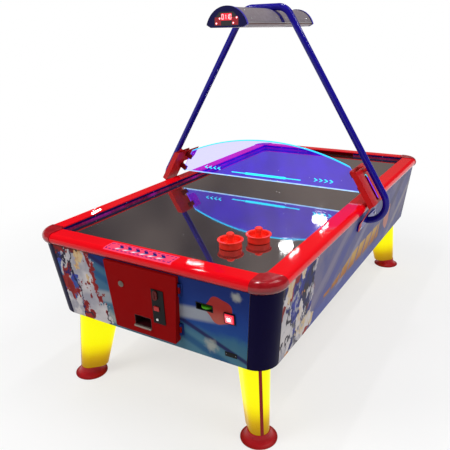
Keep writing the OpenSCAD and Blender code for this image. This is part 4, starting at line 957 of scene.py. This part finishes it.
def digit(made, text, x, z, wide, high, place, mat):
    """One seven-segment numeral, its lit bars only."""
    bar = wide * 0.2
    spots = {"a": (0, high / 2, 0), "d": (0, -high / 2, 0), "f": (-wide / 2, high / 4, 1),
             "b": (wide / 2, high / 4, 1), "e": (-wide / 2, -high / 4, 1), "c": (wide / 2, -high / 4, 1)}
    for name in SEGMENTS[text]:
        dx, dz, upright = spots[name]
        long_half = (high / 4 if upright else wide / 2) - bar * 0.15
        outline = [(-long_half, 0), (-long_half + bar / 2, -bar / 2), (long_half - bar / 2, -bar / 2),
                   (long_half, 0), (long_half - bar / 2, bar / 2), (-long_half + bar / 2, bar / 2)]
        if upright:
            outline = [(-b, a) for a, b in outline]
        made.prism(moved(outline, x + dx, z + dz), 0.0, 0.0006, place, mat)


# Score window, from the middle of its foot: two dot fields (place across, dots from its middle),
# and the numerals between them (text, place across)
DOT_FIELDS = ((-0.046, ((-0.0085, -0.0095), (0.0100, 0.0115))),
              (0.046, ((-0.0090, -0.0085), (0.0095, 0.0140))))
DOT_FIELD_Z = 0.020
DOT_FIELD_HALF = (0.0165, 0.0170)
NUMERAL_Z = 0.0385
NUMERAL_HALF = (0.0285, 0.0150)
NUMERAL_SIZE = (0.0085, 0.0205)
NUMERALS = (("0", -0.0200), ("1", -0.0062), ("1", 0.0078), ("0", 0.0208))


def score_display(side):
    """Lit numerals and dot fields on the window of one lamp end."""
    low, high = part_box("score_panels")
    turn = 1 if side == "front" else -1
    face = low.y if side == "front" else high.y
    place = place_of((turn, 0, 0), (0, 0, 1), (0, -turn, 0), (0, face, low.z))
    made = Builder()
    for x, dots in DOT_FIELDS:
        made.prism(moved(rounded(*DOT_FIELD_HALF, 0.001), x, DOT_FIELD_Z), 0.0, 0.0004, place, 0)
        for dx, dz in dots:
            spot = place @ Matrix.Translation((x + dx, DOT_FIELD_Z + dz, 0.0003))
            made.lathe(screw_profile(0.0058, 0.0006), spot, 20, 1)
            made.lathe(screw_profile(0.0038, 0.0011), spot, 20, 2)
    made.prism(moved(rounded(*NUMERAL_HALF, 0.001), 0.0, NUMERAL_Z), 0.0, 0.0003, place, 1)
    for text, x in NUMERALS:
        digit(made, text, x, NUMERAL_Z, *NUMERAL_SIZE, place, 2)
    made.piece("score_" + side, [LED_DIM, LED_RED, LED_HOT])


# Lamp housing: ledge rod above its foot, and the rows of screws along it
LEDGE_RISE = 0.020
LEDGE_R = 0.0022
LAMP_SCREWS_Y = (-0.33, -0.06, 0.06, 0.33)
LAMP_SCREWS_Z = (1.705, 1.742)


def section_x(z):
    """Half width of the lamp's round section at height z."""
    return math.sqrt(max(0.0, LAMP_R ** 2 - (z - LAMP_CENTRE_Z) ** 2))


def lamp_details():
    """Ledge rods and screws on both sides of the lamp housing."""
    low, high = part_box("lamp_body")
    made = Builder()
    ledge_z = low.z + LEDGE_RISE
    along = Vector((0, 1, 0))
    for side in (-1, 1):
        edge_x = side * section_x(ledge_z)
        made.tube([(edge_x, y, ledge_z) for y in (low.y + 0.001, 0, high.y - 0.001)], LEDGE_R)
        for y in LAMP_SCREWS_Y:
            for z in LAMP_SCREWS_Z:
                spot = Vector((side * section_x(z), y, z))
                axis = Vector((spot.x, 0, z - LAMP_CENTRE_Z)).normalized()
                place = place_of(along.cross(axis), along, axis, spot - axis * 0.0003)
                made.lathe(screw_profile(0.0042, 0.0022), place, 14, 1)
    made.piece("lamp_details", [STEEL, ZINC])


# Etched lines of the shield: height and half sizes of the long line and its bar; the chevrons
ETCH_Z = 0.860
ETCH_LINE = (0.222, 0.0016)
ETCH_BAR = (0.130, 0.0052)
CHEVRON_Z = 0.872
CHEVRON_START = 0.300
CHEVRON_PITCH = 0.030
CHEVRON_COUNT = 4
ETCH_DEPTH = -0.0002


def move_up(place, height):
    """The place raised by a height."""
    return Matrix.Translation((0, 0, height)) @ place


def shield_marks():
    """Etched line ornament of the shield, lit from its edge, on both faces."""
    low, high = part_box("shield")
    arrow = chevron(0.0, 0.0, 0.016, 0.0085, 0.006)
    made = Builder()
    for face, out in ((low.y, -1), (high.y, 1)):
        place = place_of((-out, 0, 0), (0, 0, 1), (0, out, 0), (0, face, 0))
        made.prism(rounded(*ETCH_LINE, 0.0015), ETCH_DEPTH, 0.0003, move_up(place, ETCH_Z))
        made.prism(rounded(*ETCH_BAR, 0.002), ETCH_DEPTH, 0.0004, move_up(place, ETCH_Z))
        for side in (-1, 1):
            for k in range(CHEVRON_COUNT):
                start = CHEVRON_START + CHEVRON_PITCH * k
                outline = [(side * (start + a), b) for a, b in arrow]
                made.prism(outline, ETCH_DEPTH, 0.0003, move_up(place, CHEVRON_Z))
    made.piece("shield_marks", [CYAN])


def start_lens():
    """Square lit button: moulded lens with a raised rim and a bright middle."""
    place = panel_place("front")
    low, high = start_extent()
    middle = ((low[0] + high[0]) / 2, (low[1] + high[1]) / 2)
    half = (high[0] - low[0]) / 2
    top = high[2]
    made = Builder()
    for share, corner, bottom, upper, mat in (
            (1.0, 0.003, low[2], top - 0.0012, 0), (0.88, 0.004, top - 0.0016, top, 1),
            (0.62, 0.004, top - 0.0006, top + 0.0002, 0), (0.52, 0.004, top - 0.0004, top + 0.0006, 2)):
        outline = moved(rounded(half * share, half * share, corner), *middle)
        made.prism(outline, bottom, upper, place, mat)
    lens = made.piece("start_lens", [LED_RED, LED_PINK, LED_HOT], "start_button", bevel=0.0004)
    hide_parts("start_button")


# Screw painted white as a chrome screw's highlight, placed from the middle of the coin plate
COIN_SCREW = (-0.010, -0.062)


def coin_screw():
    """Screw at the foot of the coin plate, painted white as a chrome screw's highlight."""
    made = Builder()
    spot = Matrix.Translation((COIN_SPOT[0] + COIN_SCREW[0], COIN_SPOT[1] + COIN_SCREW[1], COIN_PLATE_T))
    made.lathe(screw_profile(0.0060, 0.0030), door_place() @ spot, 20)
    made.piece("coin_screw", [SCREW_PAINTED_HIGHLIGHT], body="coin_door")


# Light lines in the bracket slots: radius, and how far they stay off the plate and the slot's edge
LIGHT_R = 0.0016
LIGHT_SUNK = 0.0012
LIGHT_OFF = 0.0018


def slot_lights(side):
    """Light lines inside a bracket's slot: violet on its far edge, dull on its near edge, cyan on top."""
    place = arm_place(side)
    depth = -BRACKET_OUT - LIGHT_SUNK
    edge = SLOT_HALF - LIGHT_OFF
    low, high = SLOT_T[0] + SLOT_HALF, SLOT_T[1] - SLOT_HALF
    bow = [(depth, SLOT_Y + edge * math.cos(a), high + edge * math.sin(a))
           for a in (math.radians(15 * k) for k in range(9))]
    made = Builder()
    for path, mat in (([(depth, SLOT_Y + edge, low - 0.010), (depth, SLOT_Y + edge, high)], 0),
                      ([(depth, SLOT_Y - edge, low), (depth, SLOT_Y - edge, high)], 1), (bow, 2)):
        made.tube([place @ Vector(p) for p in path], LIGHT_R, mat)
    made.piece("slot_lights_" + ("right" if side > 0 else "left"), [VIOLET, DUSK, CYAN])


# Camera, light and stage

CAMERA_SPOT = Vector((1.33264, -2.65140, 1.64476))
CAMERA_RIGHT = Vector((0.8588, 0.5117, -0.0238))
CAMERA_UP = Vector((-0.1566, 0.3065, 0.9387))
LENS_MM = 42.12


def add_camera():
    """Camera at the photograph's viewing angle."""
    data = bpy.data.cameras.new("camera")
    data.lens = LENS_MM
    data.sensor_width = 36.0
    data.clip_end = 100.0
    made = linked("camera", data)
    right = CAMERA_RIGHT.normalized()
    back = right.cross(CAMERA_UP).normalized()
    made.matrix_world = place_of(right, back.cross(right), back, CAMERA_SPOT)
    bpy.context.scene.camera = made


def add_area(name, spot, target, size, watts, shape="RECTANGLE", mirrored=True):
    """A lamp of some size, aimed at target; mirrored says whether polished surfaces show it."""
    data = bpy.data.lights.new(name, "AREA")
    data.shape = shape
    data.size, data.size_y = size
    data.energy = watts
    made = linked(name, data)
    made.location = spot
    made.rotation_euler = (Vector(target) - Vector(spot)).to_track_quat("-Z", "Y").to_euler()
    made.visible_glossy = mirrored
    made.visible_camera = False
    return made


def add_dash(name, target, away, along, size, watts):
    """A thin ceiling lamp that the rails mirror as a short white line along an axis."""
    spot = Vector(target) + Vector(away)
    made = add_area(name, spot, target, size, watts)
    back = Vector(away).normalized()
    flat = (Vector(along) - back * back.dot(Vector(along))).normalized()
    made.matrix_world = place_of(flat, back.cross(flat), back, spot)


# Studio lamps: place, aim, size, watts
STUDIO_LAMPS = {
    "key": ((-2.4, -3.8, 4.0), (0, 0, 0.6), (2.4, 1.8), 120),
    "fill": ((4.4, -0.6, 3.0), (0, 0, 0.6), (2.0, 1.6), 55),
    "back": ((2.2, 4.6, 4.4), (0, 0, 0.8), (2.4, 1.0), 45),
}
# Strip lamps overhead, that rails and tubes mirror: places (x, y), height, size, watts
STRIP_SPOTS = ((-1.4, -0.9), (-0.1, -0.4), (1.2, 0.1), (2.2, 0.6))
STRIP_Z = 3.6
STRIP_SIZE = (0.09, 1.1)
STRIP_WATTS = 16
# Small ceiling lamps that the field mirrors: place, aim, size, watts
CEILING_LAMPS = (
    ((-0.746, 1.972, 1.994), (0.467, -0.726, 0.774), (0.135, 0.075), 1.1),
    ((-0.586, 2.487, 1.839), (0.470, -0.340, 0.774), (0.150, 0.065), 0.9),
)
# Thin ceiling lamps that the rail tops mirror: mirroring spot, way from it to the lamp, line's axis, size
DASH_LAMPS = (
    ((0.252, -1.107), (-1.831, 2.617, 1.432), (1, 0, 0), (0.170, 0.006)),
    ((0.551, -0.833), (-1.271, 2.958, 1.375), (0, 1, 0), (0.130, 0.010)),
    ((0.557, -0.505), (-1.117, 3.088, 1.216), (0, 1, 0), (0.120, 0.010)),
    ((-0.560, -0.801), (-2.385, 2.331, 1.064), (0, 1, 0), (0.110, 0.006)),
)
DASH_WATTS = 0.25


def add_lights():
    """Soft lamps for the light, small ones for the highlights."""
    for name, lamp in STUDIO_LAMPS.items():
        add_area(name, *lamp, mirrored=False)
    for k, (x, y) in enumerate(STRIP_SPOTS):
        add_area("strip_%d" % k, (x, y, STRIP_Z), (x, y, 0.0), STRIP_SIZE, STRIP_WATTS)
    for k, lamp in enumerate(CEILING_LAMPS):
        add_area("ceiling_lamp_%d" % k, *lamp, "ELLIPSE")
    for k, (spot, away, along, size) in enumerate(DASH_LAMPS):
        add_dash("dash_lamp_%d" % k, (*spot, RAIL_TOP), away, along, size, DASH_WATTS)


# Floor: half width, corner radius, thickness, top just under the feet; where its shadow fades out
FLOOR_HALF = 30.0
FLOOR_CORNER = 6.0
FLOOR_SPAN = (-0.05, -0.0005)
FLOOR_FADE = (1.2, 3.2)
WHITE = (1, 1, 1, 1)
# World: its light on the object, and the darkest and palest patches of the ceiling that gloss shows
AMBIENT = (0.36, 0.36, 0.37, 1)
CEILING_DARK = (0.050, 0.043, 0.050, 1)
CEILING_PALE = (0.215, 0.178, 0.165, 1)


def add_floor():
    """Wide white floor that keeps the object's shadow."""
    s = Shader("floor_white")
    x, y, _ = s.axes()
    reach = s.length(x, y)
    grain = s.noise(3.0)
    base = s.mix(grain, (0.84, 0.84, 0.84, 1), (0.88, 0.88, 0.88, 1))
    diffuse = s.node("ShaderNodeBsdfDiffuse", {"Color": base})
    white = s.node("ShaderNodeEmission", {"Color": WHITE, "Strength": 1.0})
    share = s.times(s.seen_rays(), s.step(reach, *FLOOR_FADE, 0.62, 1.0))
    s.show(s.node("ShaderNodeMixShader", {0: share, 1: diffuse.outputs[0], 2: white.outputs[0]}))
    made = Builder()
    made.prism(rounded(FLOOR_HALF, FLOOR_HALF, FLOOR_CORNER, 12), *FLOOR_SPAN)
    floor = object_of(made.mesh, "floor", [s.mat], smooth=False)


def add_world():
    """White background over a plain grey light; polished surfaces see a dim, patchy ceiling above it."""
    s = Shader("studio", world=True)
    height = s.step(s.axes("Generated")[2], 0.08, 0.18)
    aside = s.minus(1.0, s.node("ShaderNodeLightPath").outputs["Is Camera Ray"])
    patch = s.step(s.noise(2.6, 3.0, s.coords("Generated")), 0.36, 0.62)
    ceiling = s.mix(patch, CEILING_DARK, CEILING_PALE)
    background = s.mix(s.times(height, aside), WHITE, ceiling)
    shown = s.mix(s.seen_rays(), AMBIENT, background)
    s.show(s.node("ShaderNodeBackground", {"Color": shown}))
    bpy.context.scene.world = s.mat


bpy.context.scene.view_settings.view_transform = "Standard"
add_camera()
add_lights()
add_floor()
add_world()
dress_nodes()
rail_label()
for end in ("front", "rear"):
    score_display(end)
for flank in (-1, 1):
    slot_lights(flank)
info_plate()
lamp_details()
shield_marks()
start_lens()
coin_screw()
